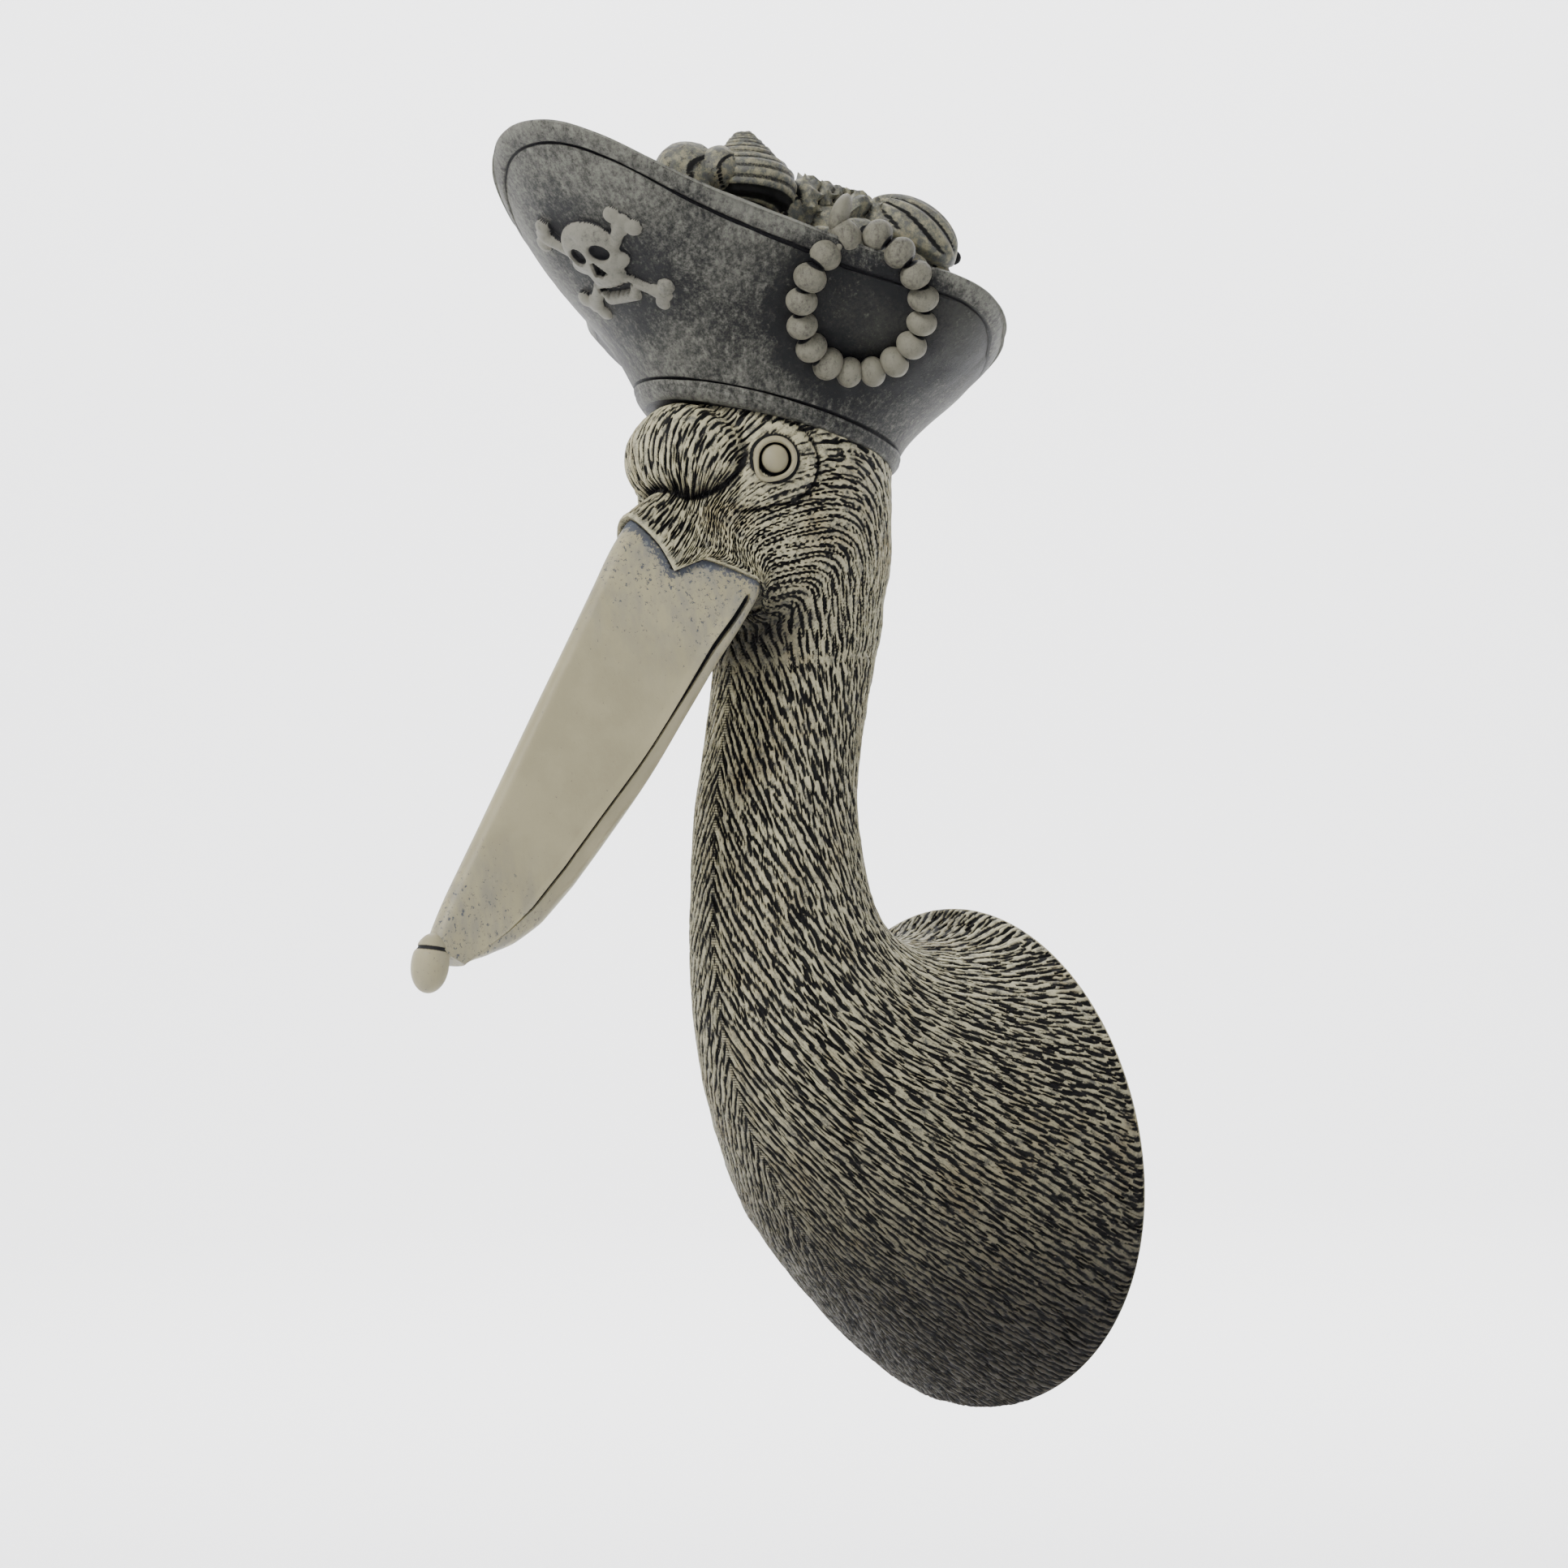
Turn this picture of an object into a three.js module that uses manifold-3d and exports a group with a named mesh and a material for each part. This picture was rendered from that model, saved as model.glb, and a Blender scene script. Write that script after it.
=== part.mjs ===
// A cast wall ornament: the head, neck and breast of a pelican that wears a pirate hat full of shells.
// It is one hollow-cast piece, so it is one closed solid here.
// Millimetres. +Z is up, the flat back lies in the plane Y = 0, the bird faces -Y and +X is its left.
// The origin is the middle of the flat oval back.

import * as THREE from "three";
import { mergeVertices } from "three/addons/utils/BufferGeometryUtils.js";
import Module from "manifold-3d";

const DEGREE = Math.PI / 180;
// Points closer than this are one point.
const MERGE_DISTANCE = 1e-4;

// ---------------------------------------------------------------- driving dimensions

// Breast and neck: slanted oval sections, from the wall to the top of the neck.
// front and back are [y, z] on the middle plane, half is half the width.
const BODY_SECTIONS = [
  { front: [0, -97], back: [0, 97], half: 92 },
  { front: [-5, -95.5], back: [-2, 96.5], half: 91 },
  { front: [-26, -80], back: [-5, 94], half: 87.5 },
  { front: [-54, -56], back: [-10, 90], half: 80 },
  { front: [-83, -28], back: [-18, 87], half: 69 },
  { front: [-102, -1], back: [-28, 86], half: 57 },
  { front: [-117, 26], back: [-40, 87], half: 47 },
  { front: [-126, 55], back: [-50.5, 93], half: 39.5 },
  { front: [-130, 85], back: [-57.5, 103], half: 34 },
  { front: [-129.5, 112], back: [-61.5, 118], half: 31 },
  { front: [-127, 140], back: [-63.5, 140], half: 29 },
  { front: [-121, 167], back: [-58, 167], half: 27.5 },
  { front: [-117, 190], back: [-49.5, 190], half: 28 },
  { front: [-116, 210], back: [-44, 210], half: 29 },
];
const BODY_RINGS = 30;
const BODY_SIDES = 28;
// Near the wall the oval is this much fuller below than above.
const BODY_LOW_FULLNESS = 0.05;

// Head: level oval sections, from the throat up into the hat.
const HEAD_SECTIONS = [
  { z: 196, y: -82, depth: 34, half: 26 },
  { z: 210, y: -88, depth: 44, half: 31 },
  { z: 224, y: -91, depth: 48, half: 36 },
  { z: 240, y: -93, depth: 50, half: 40 },
  { z: 256, y: -94, depth: 50.5, half: 42 },
  { z: 270, y: -93, depth: 49.5, half: 42.3 },
  { z: 284, y: -92, depth: 47, half: 41 },
  { z: 292, y: -92, depth: 38, half: 34 },
];
const HEAD_RINGS = 12;
const HEAD_SIDES = 22;
const FOREHEAD = { at: [0, -133, 268], size: [24, 20.5, 20] };
const EYE = { side: 35.5, y: -125, z: 263.8, ball: 5.6, sides: 8 };
// The eye looks this far round from straight ahead. Its ring is sunk into the head from the eye's middle.
const EYE_RING = { radius: 8.2, tube: 1.8, turn: 56 * DEGREE, sunk: 1.6, sides: 3, around: 9 };

// Beak: it starts on the forehead and points forward and down.
// reach is along the beak, and top, mouth and jaw are depths below its straight top line.
const BEAK_START = [-165, 244];
const BEAK_TILT = 56.7 * DEGREE;
const BEAK_SECTIONS = [
  { reach: -26, top: 7, mouth: 44, jaw: 55, half: 25 },
  { reach: -10, top: 2, mouth: 44, jaw: 56, half: 26.5 },
  { reach: 10, top: -1, mouth: 42, jaw: 55, half: 26.5 },
  { reach: 30, top: -1.5, mouth: 39, jaw: 53, half: 25 },
  { reach: 55, top: -2, mouth: 37, jaw: 51, half: 22.5 },
  { reach: 80, top: -2.6, mouth: 34.3, jaw: 49, half: 20.2 },
  { reach: 105, top: -3, mouth: 30, jaw: 45, half: 17.6 },
  { reach: 130, top: -3.4, mouth: 26, jaw: 40, half: 14.6 },
  { reach: 148, top: -3.8, mouth: 22.3, jaw: 34.5, half: 12.2 },
  { reach: 160, top: -4, mouth: 18, jaw: 27.5, half: 10.3 },
  { reach: 170, top: -3.6, mouth: 13.3, jaw: 18.5, half: 8.4 },
  { reach: 178, top: -2.8, mouth: 9.5, jaw: 11, half: 6.6 },
];
const BEAK_RINGS = 15;
// Feathered face that swells from the beak's base back into the head, with a raised edge on the beak.
const FACE_SECTIONS = [
  { reach: -40, top: 22, mouth: 46, jaw: 58, half: 27 },
  { reach: -28, top: 12, mouth: 45, jaw: 59, half: 29.5 },
  { reach: -16, top: 5, mouth: 44, jaw: 58, half: 29.5 },
  { reach: -4, top: -0.5, mouth: 43, jaw: 57, half: 28.5 },
  { reach: 2, top: -2.2, mouth: 43, jaw: 56.5, half: 28 },
];
const FACE_RINGS = 6;
// Radius of the rounding along the top of each, kept under a share of the half width.
const BEAK_CROWN = 5;
const FACE_CROWN = 8;
const CROWN_MOST = 0.7;
const NAIL = { y: -264.5, z: 91, radius: 6.6, long: 10.4, tilt: 12 * DEGREE };

// Hat: a band round the head, flaring up to a three-cornered brim, and a shell-filled dish inside.
// reach is the distance from the hat's upright axis, at an angle from the front.
const HAT_AXIS_Y = -93;
const HAT_SLOPE = 0.4;
const HAT_SIDES = 36;
const BAND_LOW = { front: 49.2, side: 42.8, z: 273 };
const BAND_HIGH = { front: 52.2, side: 45.4, z: 280.3 };
const BAND_SLOPE = 0.31;
const BAND_ROLL = 0.085;
const HAT_CURL = 0.045;
const BRIM_REACH = [
  [0, 115.5], [14, 110.5], [33, 93], [48, 83], [68, 80], [82, 87], [92, 98], [99, 100.3],
  [108, 97.7], [119, 91.5], [134, 85.6], [150, 81], [180, 77],
];
const BRIM_BACK = { y: -26, z: 301 };
const BRIM_PEAK = { from: -163, length: 45.5, rise: 11 };
// The rounded edge of the brim: how far in from the edge, and how far above its line.
const BRIM_EDGE = [[0.2, -1.6], [2.2, 0], [5.5, -0.6], [7, -3]];
const BRIM_THICK = 7;
// Where the hat's outer side has its rings, as shares of the way from the band to the brim.
const HAT_SIDE_SHARES = [0.25, 0.5, 0.75, 0.96];
const BAND_INNER_SHARE = 0.8;
// The dish inside the brim: shares of its reach, and heights over its bottom.
const DISH_DEPTH = 24;
const DISH_RINGS = [[0.8, 8], [0.62, 0]];

// Skull and crossed bones in relief on the hat's front, on a plane that leans with the hat.
// Places on it are [across, up] from its middle.
const EMBLEM = { at: [0, -172, 335.5], lean: 40.5 * DEGREE };
const CRANIUM = { up: 4, half: [10.5, 9.5, 4] };
const JAW = { up: -8.5, half: [6.2, 6.5, 3.4] };
// ends are the upper and the lower end of a bone, and spread parts the two knobs on an end.
const BONE = { radius: 2.5, knob: 3.3, sink: 0.4, spread: [1, 1.8], ends: [[20.5, 17], [20, -15]] };

// Loop of beads that hangs over the brim on the bird's left.
const BEAD_LOOP = { at: [69.5, -112.5, 316], halfWidth: 22, halfHeight: 25.5 };
const BEAD_LOOP_TURN = 48.7 * DEGREE;
const BEAD_LOOP_LEAN = 34 * DEGREE;
const BEAD = { count: 16, radius: 5.9, thick: 5.1, step: 22 * DEGREE, sides: 7 };
// The top of the loop lies back over the brim, from this cosine of its angle on.
const BEADS_OVER_BRIM = { fromCosine: 0.7, back: 10 };
const CLASP_BEAD_RADIUS = 6.5;

// Shells heaped in the hat: a mound that fills the dish, and the shells that stand out of it.
const MOUND = { at: [0, -104, 321], half: [54, 58, 26] };
const MOON_SHELLS = [
  { at: [21, -148, 370], radius: 12.8 },
  { at: [31, -138, 364], radius: 8.5 },
  { at: [12, -146, 354], radius: 15 },
  { at: [-24, -128, 354], radius: 13 },
];
const TURBAN_SHELL = { at: [28, -127, 353], radius: 16.5, height: 30, whorls: 4, lean: [0.06, 0.06, 0] };
const KNOBBLY_SHELLS = [
  { at: [42, -101, 356], radius: 8 },
  { at: [42, -91, 357], radius: 7.5 },
  { at: [44, -82, 356], radius: 7.5 },
  { at: [30, -92, 349], radius: 13 },
  { at: [-16, -98, 348], radius: 14 },
  { at: [12, -60, 335], radius: 14 },
];
const COCKLES = [
  { at: [54, -73, 347], half: [18, 16, 11], turn: [0.5, 0.2, -0.6] },
  { at: [-43, -82, 331], half: [18, 16, 12], turn: [0.3, -0.5, 0.5] },
];
const COCKLE_RIBS = { count: 8, height: 0.04 };
const PIN = { from: [62, -62, 346], to: [55.5, -46.5, 343.5], radius: 1.5, ball: 2.7 };

// ---------------------------------------------------------------- helpers

// Catmull-Rom interpolation of rows of numbers, spread evenly by row.
function smoothRows(rows, count) {
  const result = [];
  for (let i = 0; i < count; i++) {
    const at = (i / (count - 1)) * (rows.length - 1);
    const low = Math.min(Math.floor(at), rows.length - 2);
    const t = at - low;
    const before = rows[Math.max(low - 1, 0)];
    const start = rows[low];
    const end = rows[low + 1];
    const after = rows[Math.min(low + 2, rows.length - 1)];
    result.push(start.map((value, k) => catmullRom(before[k], value, end[k], after[k], t)));
  }
  return result;
}

function catmullRom(before, start, end, after, t) {
  const slopeIn = (end - before) / 2;
  const slopeOut = (after - start) / 2;
  const a = 2 * start - 2 * end + slopeIn + slopeOut;
  const b = -3 * start + 3 * end - 2 * slopeIn - slopeOut;
  return ((a * t + b) * t + slopeIn) * t + start;
}

function lerp(a, b, t) {
  return a + (b - a) * t;
}

// A closed skin over rings of equal point counts, with a flat fan over each end.
function loft(rings) {
  const sides = rings[0].length;
  const positions = rings.flat(2);
  const triangles = [];
  for (let r = 0; r < rings.length - 1; r++) {
    for (let k = 0; k < sides; k++) {
      const next = (k + 1) % sides;
      const [a, b] = [r * sides + k, r * sides + next];
      const [c, d] = [a + sides, b + sides];
      triangles.push(a, b, d, a, d, c);
    }
  }
  for (const ring of [rings[0], rings.at(-1)]) {
    const middle = positions.length / 3;
    const first = ring === rings[0] ? 0 : (rings.length - 1) * sides;
    for (let axis = 0; axis < 3; axis++) {
      positions.push(ring.reduce((sum, point) => sum + point[axis], 0) / sides);
    }
    for (let k = 0; k < sides; k++) {
      const pair = [first + k, first + ((k + 1) % sides)];
      triangles.push(middle, ...(ring === rings[0] ? pair.reverse() : pair));
    }
  }
  const geometry = new THREE.BufferGeometry();
  geometry.setAttribute("position", new THREE.Float32BufferAttribute(positions, 3));
  geometry.setIndex(triangles);
  return facingOut(geometry);
}

// Turns every triangle round if the closed geometry encloses a negative volume.
function facingOut(geometry) {
  const corner = new THREE.Vector3();
  const place = geometry.attributes.position;
  const index = geometry.index.array;
  let volume = 0;
  for (let i = 0; i < index.length; i += 3) {
    const [a, b, c] = [0, 1, 2].map((k) => corner.fromBufferAttribute(place, index[i + k]).clone());
    volume += a.dot(b.cross(c));
  }
  if (volume < 0) {
    for (let i = 0; i < index.length; i += 3) {
      [index[i + 1], index[i + 2]] = [index[i + 2], index[i + 1]];
    }
  }
  return geometry;
}

// An ellipsoid with its half sizes, turned by Euler angles and moved to its place.
function ellipsoid(at, half, turn = [0, 0, 0], sides = 12) {
  const geometry = new THREE.SphereGeometry(1, sides, Math.round(sides * 0.7));
  geometry.scale(...half);
  return placed(geometry, at, turn);
}

// The geometry with nothing but its positions, so that equal points can be merged.
function bare(geometry) {
  geometry.deleteAttribute("normal");
  geometry.deleteAttribute("uv");
  return geometry;
}

function placed(geometry, at, turn = [0, 0, 0]) {
  const rotation = new THREE.Quaternion().setFromEuler(new THREE.Euler(...turn));
  const matrix = new THREE.Matrix4().compose(new THREE.Vector3(...at), rotation, new THREE.Vector3(1, 1, 1));
  return geometry.applyMatrix4(matrix);
}

// ---------------------------------------------------------------- breast, neck and head

function slantedRing([frontY, frontZ, backY, backZ, half], sides, fullness) {
  const ring = [];
  for (let k = 0; k < sides; k++) {
    const angle = (2 * Math.PI * k) / sides;
    const toFront = (1 + Math.cos(angle)) / 2;
    const x = half * Math.sin(angle) * (1 + fullness * Math.cos(angle));
    ring.push([x, lerp(backY, frontY, toFront), lerp(backZ, frontZ, toFront)]);
  }
  return ring;
}

function bodyGeometry() {
  const rows = BODY_SECTIONS.map(({ front, back, half }) => [...front, ...back, half]);
  const rings = smoothRows(rows, BODY_RINGS).map((row, r) => {
    const wallShare = 1 - r / (BODY_RINGS - 1);
    return slantedRing(row, BODY_SIDES, BODY_LOW_FULLNESS * wallShare);
  });
  return loft(rings);
}

function headGeometry() {
  const rows = HEAD_SECTIONS.map(({ z, y, depth, half }) => [y - depth, z, y + depth, z, half]);
  return loft(smoothRows(rows, HEAD_RINGS).map((row) => slantedRing(row, HEAD_SIDES, 0)));
}

function eyeGeometries(side) {
  const at = [side * EYE.side, EYE.y, EYE.z];
  const inward = [-side * Math.sin(EYE_RING.turn), Math.cos(EYE_RING.turn), 0];
  const ringAt = at.map((value, axis) => value + EYE_RING.sunk * inward[axis]);
  const ring = new THREE.TorusGeometry(EYE_RING.radius, EYE_RING.tube, EYE_RING.sides, EYE_RING.around);
  ring.rotateX(Math.PI / 2);
  ring.rotateZ(side * EYE_RING.turn);
  return [ellipsoid(at, [EYE.ball, EYE.ball, EYE.ball], [0, 0, 0], EYE.sides), placed(ring, ringAt)];
}

// ---------------------------------------------------------------- beak

function beakPoint(x, reach, depth) {
  const [alongY, alongZ] = [-Math.cos(BEAK_TILT), -Math.sin(BEAK_TILT)];
  const [downY, downZ] = [Math.sin(BEAK_TILT), -Math.cos(BEAK_TILT)];
  return [
    x,
    BEAK_START[0] + reach * alongY + depth * downY,
    BEAK_START[1] + reach * alongZ + depth * downZ,
  ];
}

// Half a beak section, from the middle of its round top to the middle of its underside.
function beakHalfSection(top, mouth, jaw, half, widestCrown) {
  const crown = Math.min(widestCrown, half * CROWN_MOST);
  const points = [];
  for (const angle of [0, 30 * DEGREE, 60 * DEGREE]) {
    points.push([crown * Math.sin(angle), top + crown * (1 - Math.cos(angle))]);
  }
  const [startX, startDepth] = points.at(-1);
  for (const share of [0.5, 1]) {
    points.push([lerp(startX, half, share ** 0.9), lerp(startDepth, mouth, share)]);
  }
  for (const angle of [30 * DEGREE, 60 * DEGREE, 90 * DEGREE]) {
    points.push([half * Math.cos(angle), lerp(mouth, jaw, Math.sin(angle))]);
  }
  return points;
}

function beakLoft(sections, count, crown) {
  const rows = sections.map(({ reach, top, mouth, jaw, half }) => [reach, top, mouth, jaw, half]);
  const rings = smoothRows(rows, count).map(([reach, top, mouth, jaw, half]) => {
    const near = beakHalfSection(top, mouth, jaw, half, crown);
    const far = near.slice(1, -1).reverse().map(([x, depth]) => [-x, depth]);
    return [...near, ...far].map(([x, depth]) => beakPoint(x, reach, depth));
  });
  return loft(rings);
}

function nailGeometry() {
  return ellipsoid([0, NAIL.y, NAIL.z], [NAIL.radius, NAIL.radius, NAIL.long], [-NAIL.tilt, 0, 0], 10);
}

// ---------------------------------------------------------------- hat

// The brim's reach at an angle from the front, smooth through the rows of BRIM_REACH.
function brimReach(angle) {
  const degrees = THREE.MathUtils.radToDeg(Math.abs(Math.atan2(Math.sin(angle), Math.cos(angle))));
  const low = Math.max(BRIM_REACH.findIndex(([edge]) => edge >= degrees) - 1, 0);
  const last = BRIM_REACH.length - 1;
  const t = (degrees - BRIM_REACH[low][0]) / (BRIM_REACH[low + 1][0] - BRIM_REACH[low][0]);
  const before = BRIM_REACH[Math.abs(low - 1)][1];
  const after = BRIM_REACH[low + 2 > last ? last - 1 : low + 2][1];
  return catmullRom(before, BRIM_REACH[low][1], BRIM_REACH[low + 1][1], after, t);
}

function brimHeight(y) {
  const pastPeak = Math.max(0, BRIM_PEAK.from - y) / BRIM_PEAK.length;
  return BRIM_BACK.z + HAT_SLOPE * (BRIM_BACK.y - y) + BRIM_PEAK.rise * pastPeak ** 2;
}

function brimPoint(angle, inset, lift) {
  const reach = brimReach(angle) - inset;
  const y = HAT_AXIS_Y - reach * Math.cos(angle);
  return [reach * Math.sin(angle), y, brimHeight(y) + lift];
}

function bandPoint(angle, { front, side, z }, share = 1) {
  const reach = share / Math.hypot(Math.cos(angle) / front, Math.sin(angle) / side);
  const y = HAT_AXIS_Y - reach * Math.cos(angle);
  const x = reach * Math.sin(angle);
  return [x, y, z + BAND_SLOPE * (HAT_AXIS_Y - y) - BAND_ROLL * x];
}

// A point of the hat's outer side: share 0 is the top of the band and 1 the edge of the brim.
function hatSidePoint(angle, share) {
  const low = bandPoint(angle, BAND_HIGH);
  const high = brimPoint(angle, 0, 0);
  const curled = share - HAT_CURL * Math.sin(2 * Math.PI * share);
  return [lerp(low[0], high[0], curled), lerp(low[1], high[1], curled), lerp(low[2], high[2], share)];
}

function dishPoint(angle, share, lift) {
  const reach = (brimReach(angle) - BRIM_THICK) * share;
  const y = HAT_AXIS_Y - reach * Math.cos(angle);
  return [reach * Math.sin(angle), y, brimHeight(y) - DISH_DEPTH + lift];
}

function hatGeometry() {
  const levels = [
    (angle) => bandPoint(angle, BAND_LOW, BAND_INNER_SHARE),
    (angle) => bandPoint(angle, BAND_LOW),
    (angle) => bandPoint(angle, BAND_HIGH),
    ...HAT_SIDE_SHARES.map((share) => (angle) => hatSidePoint(angle, share)),
    ...BRIM_EDGE.map(([inset, lift]) => (angle) => brimPoint(angle, inset, lift)),
    ...DISH_RINGS.map(([share, lift]) => (angle) => dishPoint(angle, share, lift)),
  ];
  const rings = levels.map((level) => {
    const ring = [];
    for (let k = 0; k < HAT_SIDES; k++) {
      ring.push(level((2 * Math.PI * k) / HAT_SIDES));
    }
    return ring;
  });
  return loft(rings);
}

// ---------------------------------------------------------------- emblem on the hat

function emblemPoint([across, up], out = 0) {
  const [alongY, alongZ] = [-Math.sin(EMBLEM.lean), Math.cos(EMBLEM.lean)];
  const [x, y, z] = EMBLEM.at;
  return [x + across, y + up * alongY - out * alongZ, z + up * alongZ + out * alongY];
}

// A rod with round ends between two places.
function rod(from, to, radius, sides = 8) {
  const start = new THREE.Vector3(...from);
  const span = new THREE.Vector3(...to).sub(start);
  const geometry = new THREE.CapsuleGeometry(radius, span.length(), 3, sides);
  const up = new THREE.Vector3(0, 1, 0);
  const rotation = new THREE.Quaternion().setFromUnitVectors(up, span.clone().normalize());
  geometry.applyQuaternion(rotation);
  geometry.translate(...start.addScaledVector(span, 0.5).toArray());
  return geometry;
}

function emblemGeometries() {
  const flat = [Math.PI / 2 + EMBLEM.lean, 0, 0];
  const pieces = [CRANIUM, JAW].map(({ up, half }) => ellipsoid(emblemPoint([0, up]), half, flat, 10));
  for (const side of [-1, 1]) {
    const [high, low] = BONE.ends;
    const ends = [[side * high[0], high[1]], [-side * low[0], low[1]]];
    const places = ends.map((end) => emblemPoint(end, -BONE.sink));
    pieces.push(rod(...places, BONE.radius));
    for (const [x, y, z] of places) {
      const knob = [BONE.knob, BONE.knob, BONE.knob];
      const [back, up] = BONE.spread;
      pieces.push(ellipsoid([x, y - back, z + up], knob, [0, 0, 0], 6));
      pieces.push(ellipsoid([x, y + back, z - up], knob, [0, 0, 0], 6));
    }
  }
  return pieces;
}

// ---------------------------------------------------------------- beads

function beadGeometries() {
  const across = new THREE.Vector3(1, 0, 0);
  const up = new THREE.Vector3(0, 0, 1);
  const out = new THREE.Vector3(0, -1, 0);
  for (const axis of [across, up, out]) {
    axis.applyAxisAngle(new THREE.Vector3(1, 0, 0), BEAD_LOOP_LEAN);
    axis.applyAxisAngle(new THREE.Vector3(0, 0, 1), BEAD_LOOP_TURN);
  }
  const beads = [];
  for (let k = 0; k < BEAD.count; k++) {
    const angle = Math.PI + BEAD.step * (k - (BEAD.count - 1) / 2);
    const pastEdge = Math.max(0, Math.cos(angle) - BEADS_OVER_BRIM.fromCosine);
    const overBrim = pastEdge / (1 - BEADS_OVER_BRIM.fromCosine);
    const place = new THREE.Vector3(...BEAD_LOOP.at)
      .addScaledVector(across, BEAD_LOOP.halfWidth * Math.sin(angle))
      .addScaledVector(up, BEAD_LOOP.halfHeight * Math.cos(angle))
      .addScaledVector(out, -BEADS_OVER_BRIM.back * overBrim);
    const string = across.clone().multiplyScalar(Math.cos(angle)).addScaledVector(up, -Math.sin(angle));
    const radius = k === BEAD.count - 1 ? CLASP_BEAD_RADIUS : BEAD.radius;
    const geometry = new THREE.SphereGeometry(1, BEAD.sides, 5);
    geometry.scale(radius, BEAD.thick, radius);
    geometry.applyQuaternion(new THREE.Quaternion().setFromUnitVectors(new THREE.Vector3(0, 1, 0), string));
    geometry.translate(...place.toArray());
    beads.push(geometry);
  }
  return beads;
}

// ---------------------------------------------------------------- shells

function turbanGeometry({ at, radius, height, whorls, lean }) {
  const profile = [new THREE.Vector2(0, -radius * 0.5), new THREE.Vector2(radius * 0.75, -radius * 0.35)];
  for (let k = 0; k < whorls; k++) {
    const share = k / whorls;
    const outer = radius * (1 - share) ** 0.85;
    profile.push(new THREE.Vector2(outer, height * (share + 0.06)));
    profile.push(new THREE.Vector2(outer * 0.86, height * (share + 0.17)));
  }
  profile.push(new THREE.Vector2(0, height));
  const geometry = new THREE.LatheGeometry(profile, 14);
  geometry.rotateX(Math.PI / 2);
  return facingOut(mergeVertices(placed(bare(geometry), at, lean), MERGE_DISTANCE));
}

function cockleGeometry({ at, half, turn }) {
  const geometry = new THREE.SphereGeometry(1, 2 * COCKLE_RIBS.count, 5);
  const place = geometry.attributes.position;
  for (let i = 0; i < place.count; i++) {
    const angle = Math.atan2(place.getZ(i), place.getX(i));
    const rib = 1 + COCKLE_RIBS.height * Math.cos(angle * COCKLE_RIBS.count);
    place.setXYZ(i, place.getX(i) * rib, place.getY(i), place.getZ(i) * rib);
  }
  geometry.rotateX(Math.PI / 2);
  geometry.scale(...half);
  return placed(geometry, at, turn);
}

function shellGeometries() {
  const lean = Math.atan(HAT_SLOPE);
  const round = ({ at, radius }) => ellipsoid(at, [radius, radius, radius], [0, 0, 0], 8);
  return [
    ellipsoid(MOUND.at, MOUND.half, [-lean, 0, 0], 14),
    ...MOON_SHELLS.map(round),
    turbanGeometry(TURBAN_SHELL),
    ...KNOBBLY_SHELLS.map(round),
    ...COCKLES.map(cockleGeometry),
    rod(PIN.from, PIN.to, PIN.radius, 6),
    ellipsoid(PIN.to, [PIN.ball, PIN.ball, PIN.ball], [0, 0, 0], 6),
  ];
}

// ---------------------------------------------------------------- one solid

const wasm = await Module();
wasm.setup();

function solidOf(geometry) {
  const merged = mergeVertices(bare(geometry), MERGE_DISTANCE);
  return new wasm.Manifold(
    new wasm.Mesh({
      numProp: 3,
      vertProperties: new Float32Array(merged.attributes.position.array),
      triVerts: new Uint32Array(merged.index.array),
    }),
  );
}

function joined(geometries) {
  return geometries.map(solidOf).reduce((whole, next) => whole.add(next));
}

function geometryOf(solid) {
  const mesh = solid.getMesh();
  const geometry = new THREE.BufferGeometry();
  geometry.setAttribute("position", new THREE.BufferAttribute(mesh.vertProperties, 3));
  geometry.setIndex(new THREE.BufferAttribute(mesh.triVerts, 1));
  geometry.computeVertexNormals();
  return geometry;
}

const castResin = new THREE.MeshStandardMaterial({ color: 0xa8a290, roughness: 0.75, metalness: 0 });

const whole = joined([
  bodyGeometry(),
  headGeometry(),
  ellipsoid(FOREHEAD.at, FOREHEAD.size),
  ...eyeGeometries(1),
  ...eyeGeometries(-1),
  beakLoft(FACE_SECTIONS, FACE_RINGS, FACE_CROWN),
  beakLoft(BEAK_SECTIONS, BEAK_RINGS, BEAK_CROWN),
  nailGeometry(),
  hatGeometry(),
  ...emblemGeometries(),
  ...beadGeometries(),
  ...shellGeometries(),
]);

const pelican = new THREE.Mesh(geometryOf(whole), castResin);
pelican.name = "pelican_bust";

const group = new THREE.Group();
group.add(pelican);

export default group;
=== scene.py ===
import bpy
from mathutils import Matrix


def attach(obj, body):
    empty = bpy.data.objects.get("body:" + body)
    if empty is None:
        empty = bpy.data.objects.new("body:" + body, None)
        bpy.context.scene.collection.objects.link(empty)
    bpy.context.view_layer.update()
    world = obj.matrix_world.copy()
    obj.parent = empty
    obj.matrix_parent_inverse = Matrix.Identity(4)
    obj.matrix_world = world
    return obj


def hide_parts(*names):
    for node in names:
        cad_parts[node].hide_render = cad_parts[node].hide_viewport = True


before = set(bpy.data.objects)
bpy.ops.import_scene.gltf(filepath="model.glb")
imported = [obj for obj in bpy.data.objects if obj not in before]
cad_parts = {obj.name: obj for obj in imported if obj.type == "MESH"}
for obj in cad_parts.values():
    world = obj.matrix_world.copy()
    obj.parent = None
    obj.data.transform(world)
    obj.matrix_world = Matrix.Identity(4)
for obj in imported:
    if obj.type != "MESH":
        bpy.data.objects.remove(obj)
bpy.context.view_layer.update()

"""A cast pelican wall ornament in a pirate hat: its carved skin, its finishes, a studio and a camera.

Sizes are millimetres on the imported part's own axes: +Z is up, the flat back lies on Y = 0 and the bird
faces -Y. They become metres when a piece is made.
"""

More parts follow.
